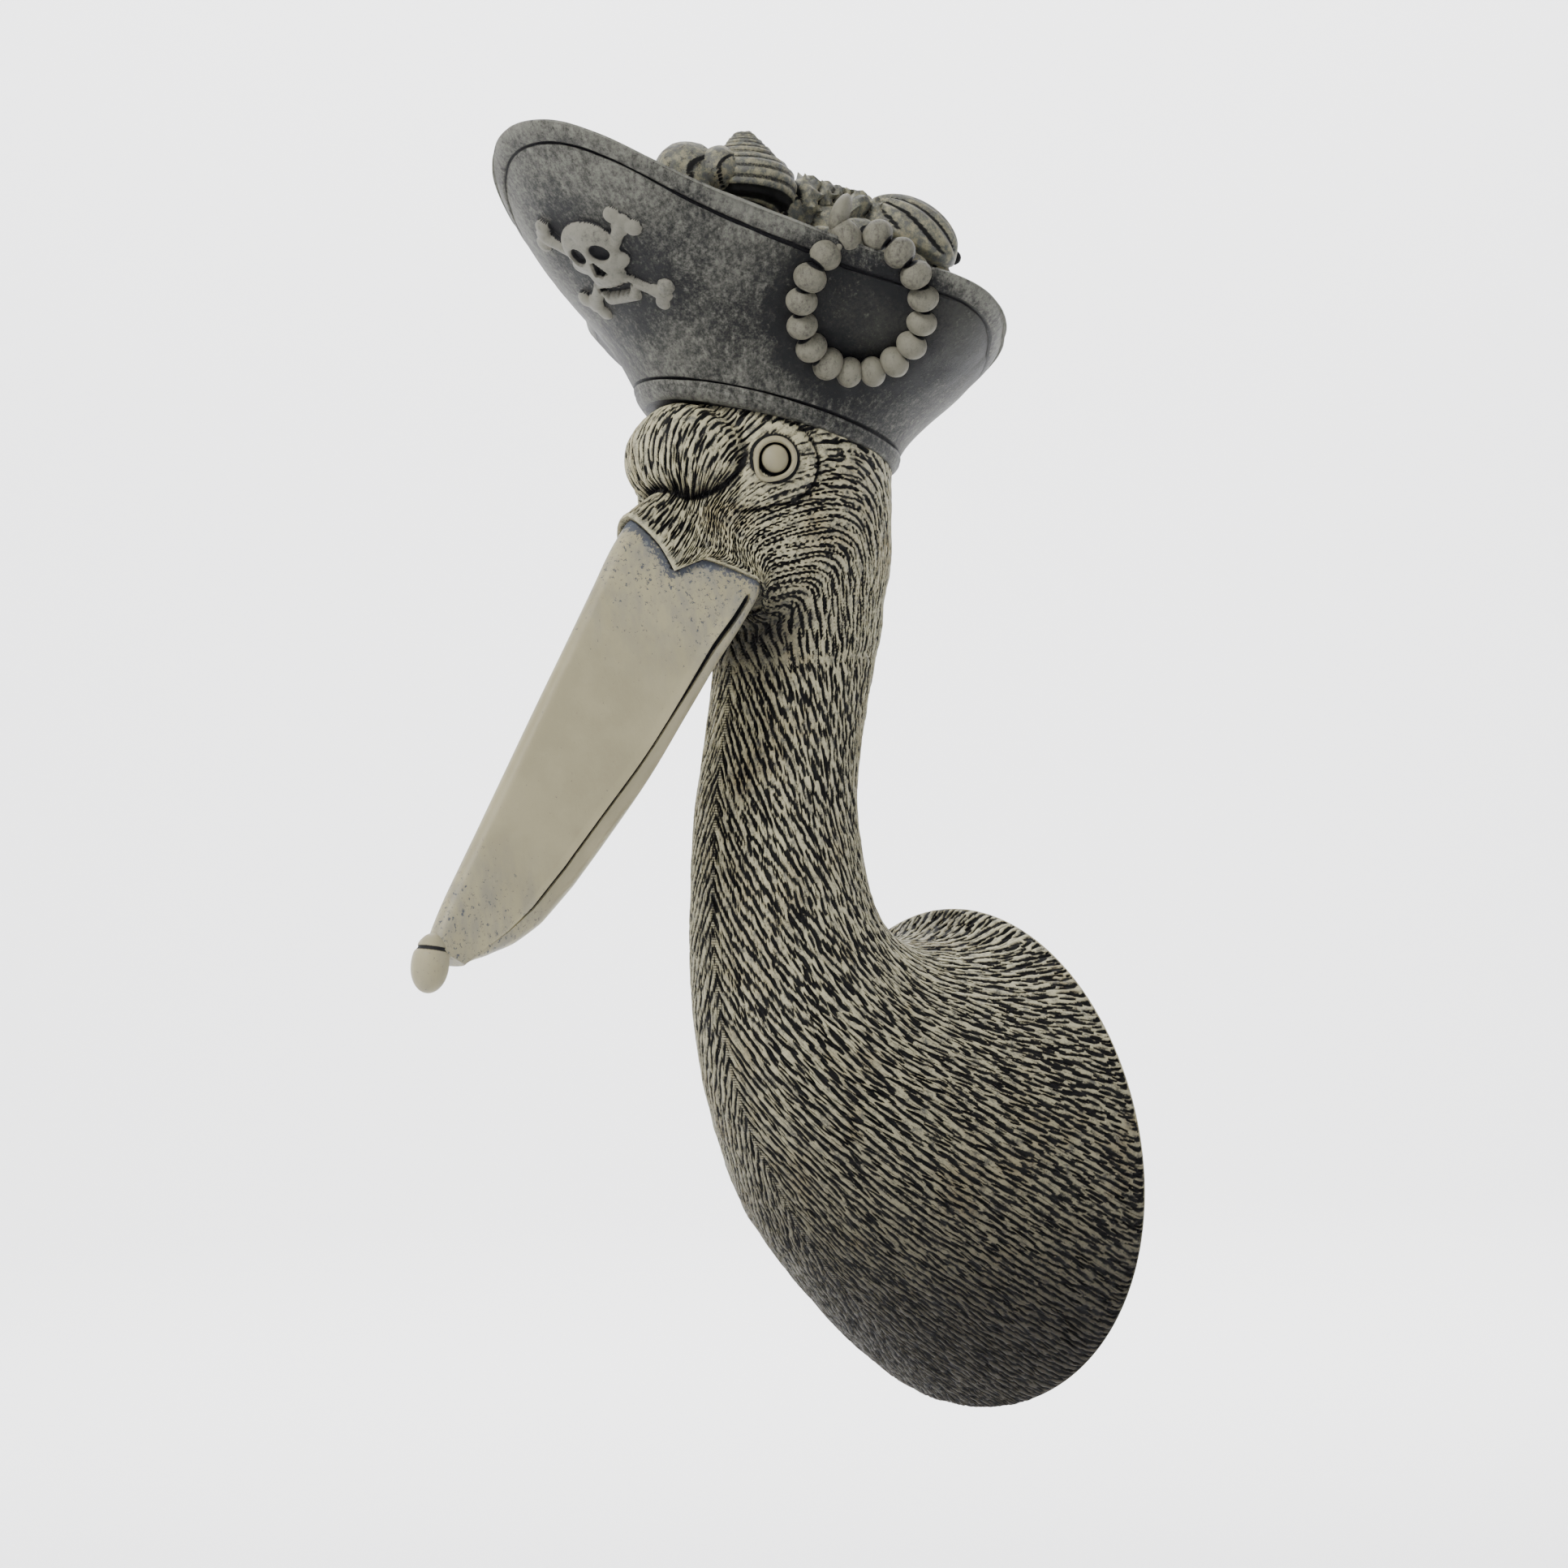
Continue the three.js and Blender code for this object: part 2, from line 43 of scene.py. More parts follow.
import logging
import math
from dataclasses import dataclass, field
from enum import Enum
from functools import partial
from typing import ClassVar, Iterator, Sequence

import bpy
import numpy as np
from mathutils import Matrix, Vector

log = logging.getLogger("pelican")

MM = 0.001
BODY = "root"
CAST_NODE = "pelican_bust"
TURN = 2 * math.pi
POLE = 0.02  # Angle from a ball's pole to its first ring.
TINY = 1e-9
CREASE = math.radians(50)  # Edges sharper than this stay sharp.
Array = np.ndarray
Size = tuple[float, float, float]
Colour = tuple[float, float, float]
Marks = dict[str, "Array | float"]


class Slot(Enum):
    """The record's material slots."""

    CAST = "cast_resin"
    HAT = "hat_resin"
    BEAK = "beak_resin"


# ------------------------------------------------------------------ numbers and curves


def catmull_rom(rows: Sequence[Sequence[float]], at: Array) -> Array:
    """Interpolates rows of numbers smoothly.

    Args:
        rows: The rows to pass through, spread evenly from 0 to their count less one.
        at: Places among the rows, any shape.

    Returns:
        One interpolated row for each place, in a last axis added to the shape of at.
    """
    table = np.asarray(rows, float)
    low = np.clip(np.floor(at).astype(int), 0, len(table) - 2)
    t = (np.asarray(at, float) - low)[..., None]
    start, end = table[low], table[low + 1]
    slope_in = (end - table[np.maximum(low - 1, 0)]) / 2
    slope_out = (table[np.minimum(low + 2, len(table) - 1)] - start) / 2
    cubic = 2 * start - 2 * end + slope_in + slope_out
    square = 3 * end - 3 * start - 2 * slope_in - slope_out
    return ((cubic * t + square) * t + slope_in) * t + start


def blend(a: Array | float, b: Array | float, share: Array | float) -> Array:
    """Mixes two values: a at share 0 and b at share 1."""
    return a + (b - a) * share


def ease(low: float, high: float, value: Array) -> Array:
    """Rises smoothly from 0 at low to 1 at high."""
    t = np.clip((value - low) / (high - low), 0, 1)
    return t * t * (3 - 2 * t)


def evenly(values: Array, path: Array, count: int) -> Array:
    """Picks values that are evenly spread along a path.

    Args:
        values: The value at each point of the path.
        path: The points.
        count: How many values to pick.

    Returns:
        The picked values.
    """
    length = np.concatenate([[0], np.cumsum(np.linalg.norm(np.diff(path, axis=0), axis=1))])
    return np.interp(np.linspace(0, length[-1], count), length, values)


def resampled(rows: Array, count: int) -> Array:
    """Interpolates rows of numbers to another count of rows."""
    place = np.linspace(0, len(rows) - 1, count)
    return np.stack([np.interp(place, np.arange(len(rows)), column) for column in rows.T], 1)


def unit(vector: Array) -> Array:
    """A vector's direction."""
    return vector / np.linalg.norm(vector)


def soft_max(a: Array, b: Array, radius: float) -> Array:
    """The larger of two values, with the corner between them rounded."""
    overlap = np.maximum(radius - np.abs(a - b), 0)
    return np.maximum(a, b) + overlap * overlap / (4 * radius)


def bell(distance: Array, width: float) -> Array:
    """A smooth bump: 1 at distance 0, fading out past its width."""
    return np.exp(-((distance / width) ** 2))


def smooth_noise(points: Array, size: float, seed: int) -> Array:
    """Smooth random values from -1 to 1 in space.

    Args:
        points: Places, with x, y and z in the last axis.
        size: Distance over which the values change.
        seed: Picks the pattern.

    Returns:
        One value for each place.
    """
    period = 64
    table = np.random.default_rng(seed).uniform(-1, 1, (period, period, period))
    scaled = points / size
    low = np.floor(scaled).astype(int)
    t = scaled - low
    t = t * t * (3 - 2 * t)
    total = np.zeros(points.shape[:-1])
    for corner in np.ndindex(2, 2, 2):
        index = (low + corner) % period
        weight = np.prod(np.where(np.array(corner) == 1, t, 1 - t), axis=-1)
        total += weight * table[index[..., 0], index[..., 1], index[..., 2]]
    return total


# ------------------------------------------------------------------ meshes


@dataclass
class Shape:
    """A mesh in the making, in millimetres.

    Attributes:
        points: Corner places.
        faces: Corner numbers of each face.
        marks: Named values of each corner, such as how much wash it holds.
    """

    points: Array
    faces: list[tuple[int, ...]]
    marks: dict[str, Array] = field(default_factory=dict)

    def joined(self, other: "Shape") -> "Shape":
        """Joins this shape with another.

        Args:
            other: The other shape.

        Returns:
            Both as one shape.
        """
        shift = len(self.points)
        names = set(self.marks) | set(other.marks)
        marks = {name: np.concatenate([self.mark(name), other.mark(name)]) for name in names}
        moved = [tuple(corner + shift for corner in face) for face in other.faces]
        return Shape(np.concatenate([self.points, other.points]), self.faces + moved, marks)

    def mark(self, name: str) -> Array:
        """Returns a named value of each corner, or zeros."""
        return self.marks.get(name, np.zeros(len(self.points)))


def ring_faces(rows: int, sides: int, lean: Array | None = None) -> list[tuple[int, ...]]:
    """Faces of a tube of rings.

    Args:
        rows: How many rings there are.
        sides: How many corners a ring has.
        lean: For each side, +1 or -1 for the diagonal that parts its faces; None leaves them whole.

    Returns:
        The faces, row by row.
    """
    row, side = np.meshgrid(np.arange(rows - 1), np.arange(sides), indexing="ij")
    a = row * sides + side
    b = row * sides + (side + 1) % sides
    c, d = a + sides, b + sides
    if lean is None:
        return list(map(tuple, np.stack([a, b, d, c], -1).reshape(-1, 4).tolist()))
    forward = np.broadcast_to(lean > 0, a.shape)[..., None]
    first = np.where(forward, np.stack([a, b, d], -1), np.stack([a, b, c], -1))
    second = np.where(forward, np.stack([a, d, c], -1), np.stack([b, d, c], -1))
    return list(map(tuple, np.concatenate([first.reshape(-1, 3), second.reshape(-1, 3)]).tolist()))


def tube(grid: Array, marks: Marks, lean: Array | None = None) -> Shape:
    """A closed skin over a grid of rings, with a fan over each end.

    Args:
        grid: Places by ring and side.
        marks: Named values by ring and side, or one for all of it.
        lean: Passed to ring_faces.

    Returns:
        The closed shape, facing outwards.
    """
    rows, sides = grid.shape[:2]
    ends = np.stack([grid[0].mean(0), grid[-1].mean(0)])
    points = np.concatenate([grid.reshape(-1, 3), ends])
    faces = ring_faces(rows, sides, lean)
    first, last = rows * sides, rows * sides + 1
    foot = (rows - 1) * sides
    for k in range(sides):
        following = (k + 1) % sides
        faces.append((first, following, k))
        faces.append((last, foot + k, foot + following))
    values = {}
    for name, value in marks.items():
        value = np.broadcast_to(value, (rows, sides))
        values[name] = np.concatenate([value.reshape(-1), [value[0].mean(), value[-1].mean()]])
    return facing_out(Shape(points, faces, values))


def unit_ball(rings: int, sides: int) -> Array:
    """Places on a ball of radius 1.

    Args:
        rings: How many rings it has from pole to pole along z.
        sides: How many corners a ring has.

    Returns:
        Places by ring and side.
    """
    level = np.linspace(POLE, math.pi - POLE, rings)[:, None]
    around = (TURN * np.arange(sides) / sides)[None, :]
    ring = np.sin(level)
    return np.stack([ring * np.cos(around), ring * np.sin(around), np.cos(level) + 0 * around], -1)


def facing_out(shape: Shape) -> Shape:
    """Turns every face of a closed shape round if they face inwards.

    Args:
        shape: The shape, which is changed.

    Returns:
        The same shape.
    """
    corners = [face[:3] for face in shape.faces]
    corners += [(face[0], face[2], face[3]) for face in shape.faces if len(face) == 4]
    a, b, c = (shape.points[np.array(corners)[:, k]] for k in range(3))
    if np.einsum("ij,ij->", a, np.cross(b, c)) < 0:
        shape.faces = [tuple(reversed(face)) for face in shape.faces]
    return shape


def grid_normals(grid: Array) -> Array:
    """Outward unit normals of a grid of closed rings.

    Args:
        grid: Places by ring and side.

    Returns:
        A normal at each place.
    """
    around = np.roll(grid, -1, axis=1) - np.roll(grid, 1, axis=1)
    along = np.gradient(grid, axis=0)
    normal = np.cross(around, along)
    normal /= np.maximum(np.linalg.norm(normal, axis=-1, keepdims=True), TINY)
    middle = grid.mean(axis=1, keepdims=True)
    outward = np.einsum("ijk,ijk->", normal, grid - middle)
    return normal if outward > 0 else -normal


def set_mark(mesh: bpy.types.Mesh, name: str, values: Array) -> None:
    """Gives a mesh a named value for each corner."""
    mesh.attributes.new(name, "FLOAT", "POINT").data.foreach_set("value", values.astype(np.float32))


def add_piece(name: str, shape: Shape, material: bpy.types.Material, slot: Slot) -> None:
    """Makes a piece of the ornament and gives it to the frame.

    Args:
        name: The piece's name.
        shape: Its closed mesh in millimetres.
        material: Its finish.
        slot: The record's slot that the finish belongs to.
    """
    mesh = bpy.data.meshes.new(name)
    mesh.from_pydata((shape.points * MM).tolist(), [], shape.faces)
    for mark, values in shape.marks.items():
        set_mark(mesh, mark, values)
    mesh.validate()
    mesh.set_sharp_from_angle(angle=CREASE)
    give_piece(bpy.data.objects.new(name, mesh), material, slot)


def give_piece(piece: bpy.types.Object, material: bpy.types.Material, slot: Slot) -> None:
    """Links a finished piece, dresses it, puts it on the frame's body and hides the imported part.

    Args:
        piece: The object.
        material: Its finish.
        slot: The record's slot that the finish belongs to. Not used.
    """
    if piece.name not in bpy.context.scene.collection.objects:
        bpy.context.scene.collection.objects.link(piece)
    piece.data.materials.clear()
    piece.data.materials.append(material)
    piece.data.polygons.foreach_set("use_smooth", [True] * len(piece.data.polygons))
    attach(piece, BODY)
    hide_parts(CAST_NODE)
    piece.data.calc_loop_triangles()
    log.info("%s: %d triangles", piece.name, len(piece.data.loop_triangles))


# ------------------------------------------------------------------ finishes


def new_node(
    tree: bpy.types.NodeTree, kind: str, inputs: dict | None = None, **settings: object
) -> bpy.types.Node:
    """Adds a node to a tree.

    Args:
        tree: The tree.
        kind: The node's type.
        inputs: Values or sockets for its inputs, by name or number.
        settings: Its other properties.

    Returns:
        The node.
    """
    made = tree.nodes.new(kind)
    for key, value in settings.items():
        setattr(made, key, value)
    for key, value in (inputs or {}).items():
        if isinstance(value, bpy.types.NodeSocket):
            tree.links.new(value, made.inputs[key])
        else:
            made.inputs[key].default_value = value
    return made


class Nodes:
    """Builds the node tree of one material."""

    SPECULAR: ClassVar[float] = 0.22

    def __init__(self, name: str, roughness: float) -> None:
        """Starts a material with one shader.

        Args:
            name: The material's name.
            roughness: The shader's plain roughness, until something is linked to it.
        """
        self.material = bpy.data.materials.new(name)
        self.material.use_nodes = True
        self.tree = self.material.node_tree
        self.shader = self.tree.nodes["Principled BSDF"]
        self.shader.inputs["Roughness"].default_value = roughness
        self.shader.inputs["Specular IOR Level"].default_value = self.SPECULAR
        self.node = partial(new_node, self.tree)
        self.place = self.node("ShaderNodeTexCoord").outputs["Object"]

    def mark(self, name: str) -> bpy.types.NodeSocket:
        """Returns a named value of the mesh."""
        return self.node("ShaderNodeAttribute", attribute_name=name).outputs["Fac"]

    def noise(
        self, size_mm: float, detail: float = 4, rough: float = 0.6, stretch: Size = (1, 1, 1)
    ) -> bpy.types.NodeSocket:
        """Noise whose features are about a size.

        Args:
            size_mm: Width of a feature in millimetres.
            detail: How many finer layers it has.
            rough: Strength of the finer layers.
            stretch: Scale along each axis.

        Returns:
            The value socket, from 0 to 1.
        """
        mapped = self.node("ShaderNodeMapping", {0: self.place, "Scale": stretch}).outputs[0]
        scale = 1 / (size_mm * MM)
        inputs = {"Vector": mapped, "Scale": scale, "Detail": detail, "Roughness": rough}
        return self.node("ShaderNodeTexNoise", inputs).outputs["Fac"]

    def math(self, operation: str, a: object, b: object) -> bpy.types.NodeSocket:
        """Returns the result of an operation on two values or sockets."""
        return self.node("ShaderNodeMath", {0: a, 1: b}, operation=operation).outputs[0]

    def add(self, a: object, b: object) -> bpy.types.NodeSocket:
        """Returns the sum of two values or sockets."""
        return self.math("ADD", a, b)

    def less(self, a: object, b: object) -> bpy.types.NodeSocket:
        """Returns the first of two values or sockets less the second."""
        return self.math("SUBTRACT", a, b)

    def times(self, a: object, b: object) -> bpy.types.NodeSocket:
        """Returns the product of two values or sockets."""
        return self.math("MULTIPLY", a, b)

    def ragged_wash(self, noise: bpy.types.NodeSocket, strength: float) -> bpy.types.NodeSocket:
        """Returns the mesh's wash mark, made ragged by noise."""
        return self.add(self.mark("wash"), self.times(self.less(noise, 0.5), strength))

    def span(
        self, value: bpy.types.NodeSocket, low: float, high: float, to: tuple[float, float] = (0, 1)
    ) -> bpy.types.NodeSocket:
        """Returns a value that runs smoothly over a span as its input runs from low to high."""
        inputs = {0: value, "From Min": low, "From Max": high, "To Min": to[0], "To Max": to[1]}
        return self.node("ShaderNodeMapRange", inputs, interpolation_type="SMOOTHSTEP").outputs[0]

    def mix(self, share: object, a: object, b: object) -> bpy.types.NodeSocket:
        """Mixes two colours or sockets.

        Args:
            share: Where between the colours.
            a: The colour at share 0.
            b: The colour at share 1.

        Returns:
            The mixed colour.
        """
        inputs = {6: a, 7: b}
        for key, value in inputs.items():
            inputs[key] = value if isinstance(value, bpy.types.NodeSocket) else (*value, 1)
        return self.node("ShaderNodeMix", {0: share} | inputs, data_type="RGBA").outputs[2]

    def bump(self, layers: Sequence[tuple[bpy.types.NodeSocket, float]]) -> None:
        """Adds surface relief too fine for the mesh.

        Args:
            layers: Height sockets with their heights in millimetres.
        """
        normal = None
        for height, depth_mm in layers:
            inputs = {"Height": height, "Distance": depth_mm * MM, "Strength": 1.0}
            if normal is not None:
                inputs["Normal"] = normal
            normal = self.node("ShaderNodeBump", inputs).outputs[0]
        self.tree.links.new(normal, self.shader.inputs["Normal"])

    def finish(self, colour: bpy.types.NodeSocket, roughness: bpy.types.NodeSocket) -> bpy.types.Material:
        """Links colour and roughness.

        Args:
            colour: The base colour.
            roughness: The roughness.

        Returns:
            The material.
        """
        self.tree.links.new(colour, self.shader.inputs["Base Color"])
        self.tree.links.new(roughness, self.shader.inputs["Roughness"])
        return self.material


@dataclass(frozen=True)
class CarvedFinish:
    """Cream paint over carved strokes, with a dark wash left in them.

    Attributes:
        name: The material's name.
        cream: The paint on the ridges.
        warm: Its browner patches.
        slate: Thin wash that greys the ridges in patches.
        soot: Thick wash in the strokes; also the colour of the painted shade under the beak's base.
        slate_share: How much of the surface the thin wash greys.
        soil_and_shade: Dirt and painted shade on the lowest parts, which darken towards the bottom.
        low_soil_and_shade: How much of it the lowest parts hold.
    """

    name: str
    cream: Colour = (0.51, 0.475, 0.315)
    warm: Colour = (0.37, 0.31, 0.175)
    slate: Colour = (0.085, 0.092, 0.095)
    soot: Colour = (0.0045, 0.0045, 0.005)
    soil_and_shade: Colour = (0.026, 0.022, 0.015)
    slate_share: float = 0.72
    low_soil_and_shade: float = 0.97

    def material(self) -> bpy.types.Material:
        """Builds the material, which reads the mesh's wash, zip and shade marks.

        Returns:
            The material.
        """
        nodes = Nodes(self.name, 0.6)
        patches = nodes.noise(26, 3)
        grime = nodes.noise(3.2, 6, 0.7)
        fine = nodes.noise(0.5, 5, 0.7)
        tone = nodes.mix(nodes.span(patches, 0.5, 0.72, (0, 0.75)), self.cream, self.warm)
        haze_at = nodes.add(nodes.times(grime, 0.75), nodes.times(fine, 0.25))
        low = 0.75 - 0.25 * self.slate_share
        haze = nodes.span(haze_at, low - 0.12, low + 0.08, (0, 0.85))
        tone = nodes.mix(haze, tone, self.slate)
        # Dirt and painted shade: the paint darkens towards the bottom of the breast, where less light falls.
        height = nodes.node("ShaderNodeSeparateXYZ", {0: nodes.place}).outputs[2]
        soiled_and_shaded = nodes.span(height, 0.085, -0.07, (0, self.low_soil_and_shade))
        tone = nodes.mix(soiled_and_shaded, tone, self.soil_and_shade)
        # Painted shade under the beak's base, from the shade mark, in the soot colour.
        tone = nodes.mix(nodes.times(nodes.mark("shade"), 0.85), tone, self.soot)
        filled = nodes.ragged_wash(fine, 0.5)
        tone = nodes.mix(nodes.span(filled, 0.10, 0.42), tone, self.soot)
        ticks = nodes.node("ShaderNodeTexWave", {"Vector": nodes.place, "Scale": 330.0}, bands_direction="Z")
        tick = nodes.times(nodes.span(ticks.outputs["Fac"], 0.5, 0.75), nodes.mark("zip"))
        tone = nodes.mix(nodes.times(tick, 0.8), tone, self.soot)
        nodes.bump([(grime, 0.25), (fine, 0.12), (nodes.less(1.0, tick), 0.3)])
        rough = nodes.span(nodes.add(filled, nodes.times(grime, 0.3)), 0.0, 1.0, (0.5, 0.72))
        return nodes.finish(tone, rough)


@dataclass(frozen=True)
class SmoothFinish:
    """Smooth cream paint with specks of wash.

    Attributes:
        name: The material's name.
        cream: The paint.
        slate: The wash.
        spot: The specks.
        soot: The wash in grooves.
        specks: How dense the specks are where the mesh's specks mark is 1.
    """

    name: str
    cream: Colour = (0.365, 0.33, 0.212)
    slate: Colour = (0.17, 0.185, 0.20)
    spot: Colour = (0.075, 0.085, 0.11)
    soot: Colour = (0.012, 0.012, 0.014)
    specks: float = 1.0

    def material(self) -> bpy.types.Material:
        """Builds the material, which reads the mesh's wash and specks marks.

        Returns:
            The material.
        """
        nodes = Nodes(self.name, 0.45)
        cloud = nodes.noise(20, 4, 0.55)
        brush = nodes.noise(5, 5, 0.6, (1, 1, 0.3))
        dots = nodes.noise(1.6, 6, 0.75)
        pale = tuple(min(1, value * 1.12) for value in self.cream)
        tone = nodes.mix(nodes.span(cloud, 0.35, 0.65), self.cream, pale)
        drift = nodes.times(nodes.mark("specks"), self.specks)
        film = nodes.times(nodes.span(brush, 0.35, 0.7, (0, 0.6)), drift)
        tone = nodes.mix(film, tone, self.slate)
        spot_at = nodes.add(dots, nodes.times(drift, 0.12))
        tone = nodes.mix(nodes.span(spot_at, 0.655, 0.70, (0, 0.9)), tone, self.spot)
        fine = nodes.noise(0.5, 4, 0.7)
        filled = nodes.ragged_wash(fine, 0.35)
        tone = nodes.mix(nodes.span(filled, 0.25, 0.6), tone, self.soot)
        nodes.bump([(brush, 0.12), (dots, 0.06)])
        return nodes.finish(tone, nodes.span(nodes.add(filled, cloud), 0.3, 1.3, (0.36, 0.62)))


@dataclass(frozen=True)
class HatFinish:
    """Blue-grey paint, dry-brushed with cream, with wash in its grooves and worn edges.

    Attributes:
        name: The material's name.
        slate: The paint in the middle tones.
        deep: The darkest patches.
        cream: The dry-brushed paint.
        soot: The wash in grooves.
    """

    name: str
    slate: Colour = (0.034, 0.034, 0.030)
    deep: Colour = (0.007, 0.0075, 0.009)
    cream: Colour = (0.25, 0.25, 0.215)
    soot: Colour = (0.010, 0.010, 0.012)

    def material(self) -> bpy.types.Material:
        """Builds the material, which reads the mesh's wash, worn and shade marks.

        Returns:
            The material.
        """
        nodes = Nodes(self.name, 0.5)
        cloud = nodes.noise(38, 3, 0.5)
        speckle = nodes.noise(1.5, 8, 0.85)
        streak = nodes.noise(3, 6, 0.75, (1, 1, 0.3))
        shade = nodes.mark("shade")
        mottle = nodes.add(nodes.times(cloud, 0.5), nodes.times(speckle, 0.5))
        # Painted shade round the emblem and the beads darkens the paint.
        mottle = nodes.less(mottle, nodes.times(shade, 0.11))
        tone = nodes.mix(nodes.span(mottle, 0.38, 0.58), self.deep, self.slate)
        brushed = nodes.add(nodes.times(streak, 0.45), nodes.times(speckle, 0.55))
        # The worn mark brings up the cream: wear, and on the hat's front also painted light.
        at = nodes.add(brushed, nodes.times(nodes.mark("worn"), 0.26))
        at = nodes.add(at, nodes.times(nodes.less(cloud, 0.5), 0.2))
        # Less dry-brushed cream where the painted shade lies.
        at = nodes.less(at, nodes.times(shade, 0.09))
        tone = nodes.mix(nodes.span(at, 0.525, 0.80, (0, 0.85)), tone, self.cream)
        filled = nodes.ragged_wash(speckle, 0.3)
        tone = nodes.mix(nodes.span(filled, 0.3, 0.6), tone, self.soot)
        nodes.bump([(streak, 0.15), (speckle, 0.2)])
        return nodes.finish(tone, nodes.span(brushed, 0.3, 0.7, (0.42, 0.66)))


# ------------------------------------------------------------------ feather strokes


@dataclass(frozen=True)
class FeatherStrokes:
    """Gouged strokes laid like bricks down the bird, from the beak's base to the wall.

    A place on the skin has a length along the flow, which is 0 where neck and breast meet, and a share of the
    way round, which is 0 on the middle line in front.

    Attributes:
        count: Strokes round the neck and the head.
        growth: How many more there are for each millimetre down the breast.
        crown: How many more there are for each millimetre up the head.
        crown_from: Length along the flow where the head starts.
        step: Distance from one row to the next.
        half_length: Half a stroke's length.
        half_width: Half a stroke's width, as a share of the gap between strokes.
        slant: Angle in degrees at which strokes leave the middle line in front.
        seed: Picks the random sizes.
    """

    DICE: ClassVar[tuple[int, int]] = (128, 1024)  # Rows and columns after which the random sizes repeat.

    count: int = 66
    growth: float = 0.84
    crown: float = 0.14
    crown_from: float = -130
    step: float = 3.0
    half_length: float = 3.5
    half_width: float = 0.205
    slant: float = 27
    seed: int = 11

    def depth(self, along: Array, around: Array, girth: Array) -> Array:
        """How deep the strokes are, from 0 to 1.

        Args:
            along: Length down the flow of each place.
            around: Share of the way round, from 0 to 1.
            girth: Length that one whole way round has at each place.

        Returns:
            The depth at each place.
        """
        tall, wide = self.DICE
        dice = np.random.default_rng(self.seed).uniform(-1, 1, (tall, wide, 6))
        side = np.where(around < 0.5, 1.0, -1.0)
        turn = np.cos(np.pi * np.minimum(around, 1 - around)) ** 2
        lower = ease(0, 110, along)
        drift = side * np.tan(np.radians(self.slant * turn * (1 - 0.75 * lower)))
        deepest = np.zeros_like(along)
        nearest = np.round(along / self.step - 0.5).astype(int)
        for row in (nearest - 1, nearest, nearest + 1):
            middle = (row + 0.5) * self.step
            more = self.growth * np.maximum(middle, 0) + self.crown * np.maximum(self.crown_from - middle, 0)
            count = self.count + np.round(more).astype(int)
            stagger = 0.5 * (row % 2)
            down = along - middle
            straight = around - drift * down / girth
            place = np.floor(straight * count - stagger + 0.5).astype(int)
            for column in (place - 1, place, place + 1):
                sideways, onwards, longer, wider, deeper, skew = np.moveaxis(
                    dice[row % tall, (column % count) % wide], -1, 0
                )
                reach = self.half_length * (1 + 0.32 * longer)
                length = (down - 0.33 * self.step * onwards) / reach
                offset = straight * count - stagger - column - 0.27 * sideways + 0.16 * skew * length
                inside = np.clip(1 - length * length, 0, 1)
                narrower = 0.15 * ease(self.crown_from + 25, self.crown_from - 20, middle)
                broad = self.half_width * (1 - narrower)
                width = broad * (1 + 0.4 * wider) * inside**0.62 * (1 + 0.28 * length)
                cut = np.clip(1 - (offset / np.maximum(width, 1e-3)) ** 2, 0, 1)
                cut = cut * np.clip(inside * 3, 0, 1) * (0.75 + 0.25 * deeper)
                deepest = np.maximum(deepest, cut)
        return deepest


# ------------------------------------------------------------------ breast, neck and head


# Breast and neck: slanted oval sections, from the wall to the top of the neck, as
# (front y, front z, back y, back z, half width).
BODY_SECTIONS = (
    (0, -97, 0, 97, 92),
    (-5, -95.5, -2, 96.5, 91),
    (-26, -80, -5, 94, 87.5),
    (-54, -56, -10, 90, 80),
    (-83, -28, -18, 87, 69),
    (-102, -1, -28, 86, 57),
    (-117, 26, -40, 87, 47),
    (-126, 55, -50.5, 93, 39.5),
    (-130, 85, -57.5, 103, 34),
    (-129.5, 112, -61.5, 118, 31),
    (-127, 140, -63.5, 140, 29),
    (-121, 167, -58, 167, 27.5),
    (-117, 190, -50.5, 190, 27.6),
    (-116, 210, -47, 210, 28.4),
)
NECK_FOOT = 7
NECK_TOP = 12.7
NECK_END = 216
HEAD_TOP = 293

# Head: level ovals as (z, middle y, half depth, half width).
HEAD_SECTIONS = (
    (196, -82.5, 32.5, 26),
    (210, -88.5, 41.5, 30.5),
    (224, -91, 48, 36),
    (240, -93, 50, 40),
    (256, -94, 50.5, 42),
    (270, -93, 49.5, 42.3),
    (284, -92, 47, 41),
    (292, -92, 38, 34),
)
FOREHEAD_AT = (0, -133, 268)
FOREHEAD_HALF = (26.5, 20.5, 20)
EYE_AT = (35.5, -125, 265.3)
THROAT = (-118, 203)
EYE_TURN = math.radians(56)

# Slanted slices of the head, from the top of the neck round to the base of the beak, as
# (lower y, lower z, upper y, upper z) on the middle plane. All turn about the throat.
HEAD_SLICES = (
    (-117, 190, -49.5, 190),
    (-116.2, 194, -45.5, 203),
    (-115.8, 197.5, -42.5, 218),
    (-115.6, 200.5, -42.5, 236),
    (-115.6, 203, -44.5, 256),
    (-115.8, 205, -52, 276),
    (-116.2, 206.8, -70, 289),
    (-116.8, 208.2, -95, 293),
    (-117.4, 209.3, -120, 291),
    (-118, 210.2, -140, 284),
    (-118.5, 210.8, -151, 272),
    (-119, 211.1, -152.5, 260),
    (-119.3, 211.3, -155, 250),
    (-119.5, 211.4, -161, 245.5),
    (-119.6, 211.4, -166.5, 244.5),
)

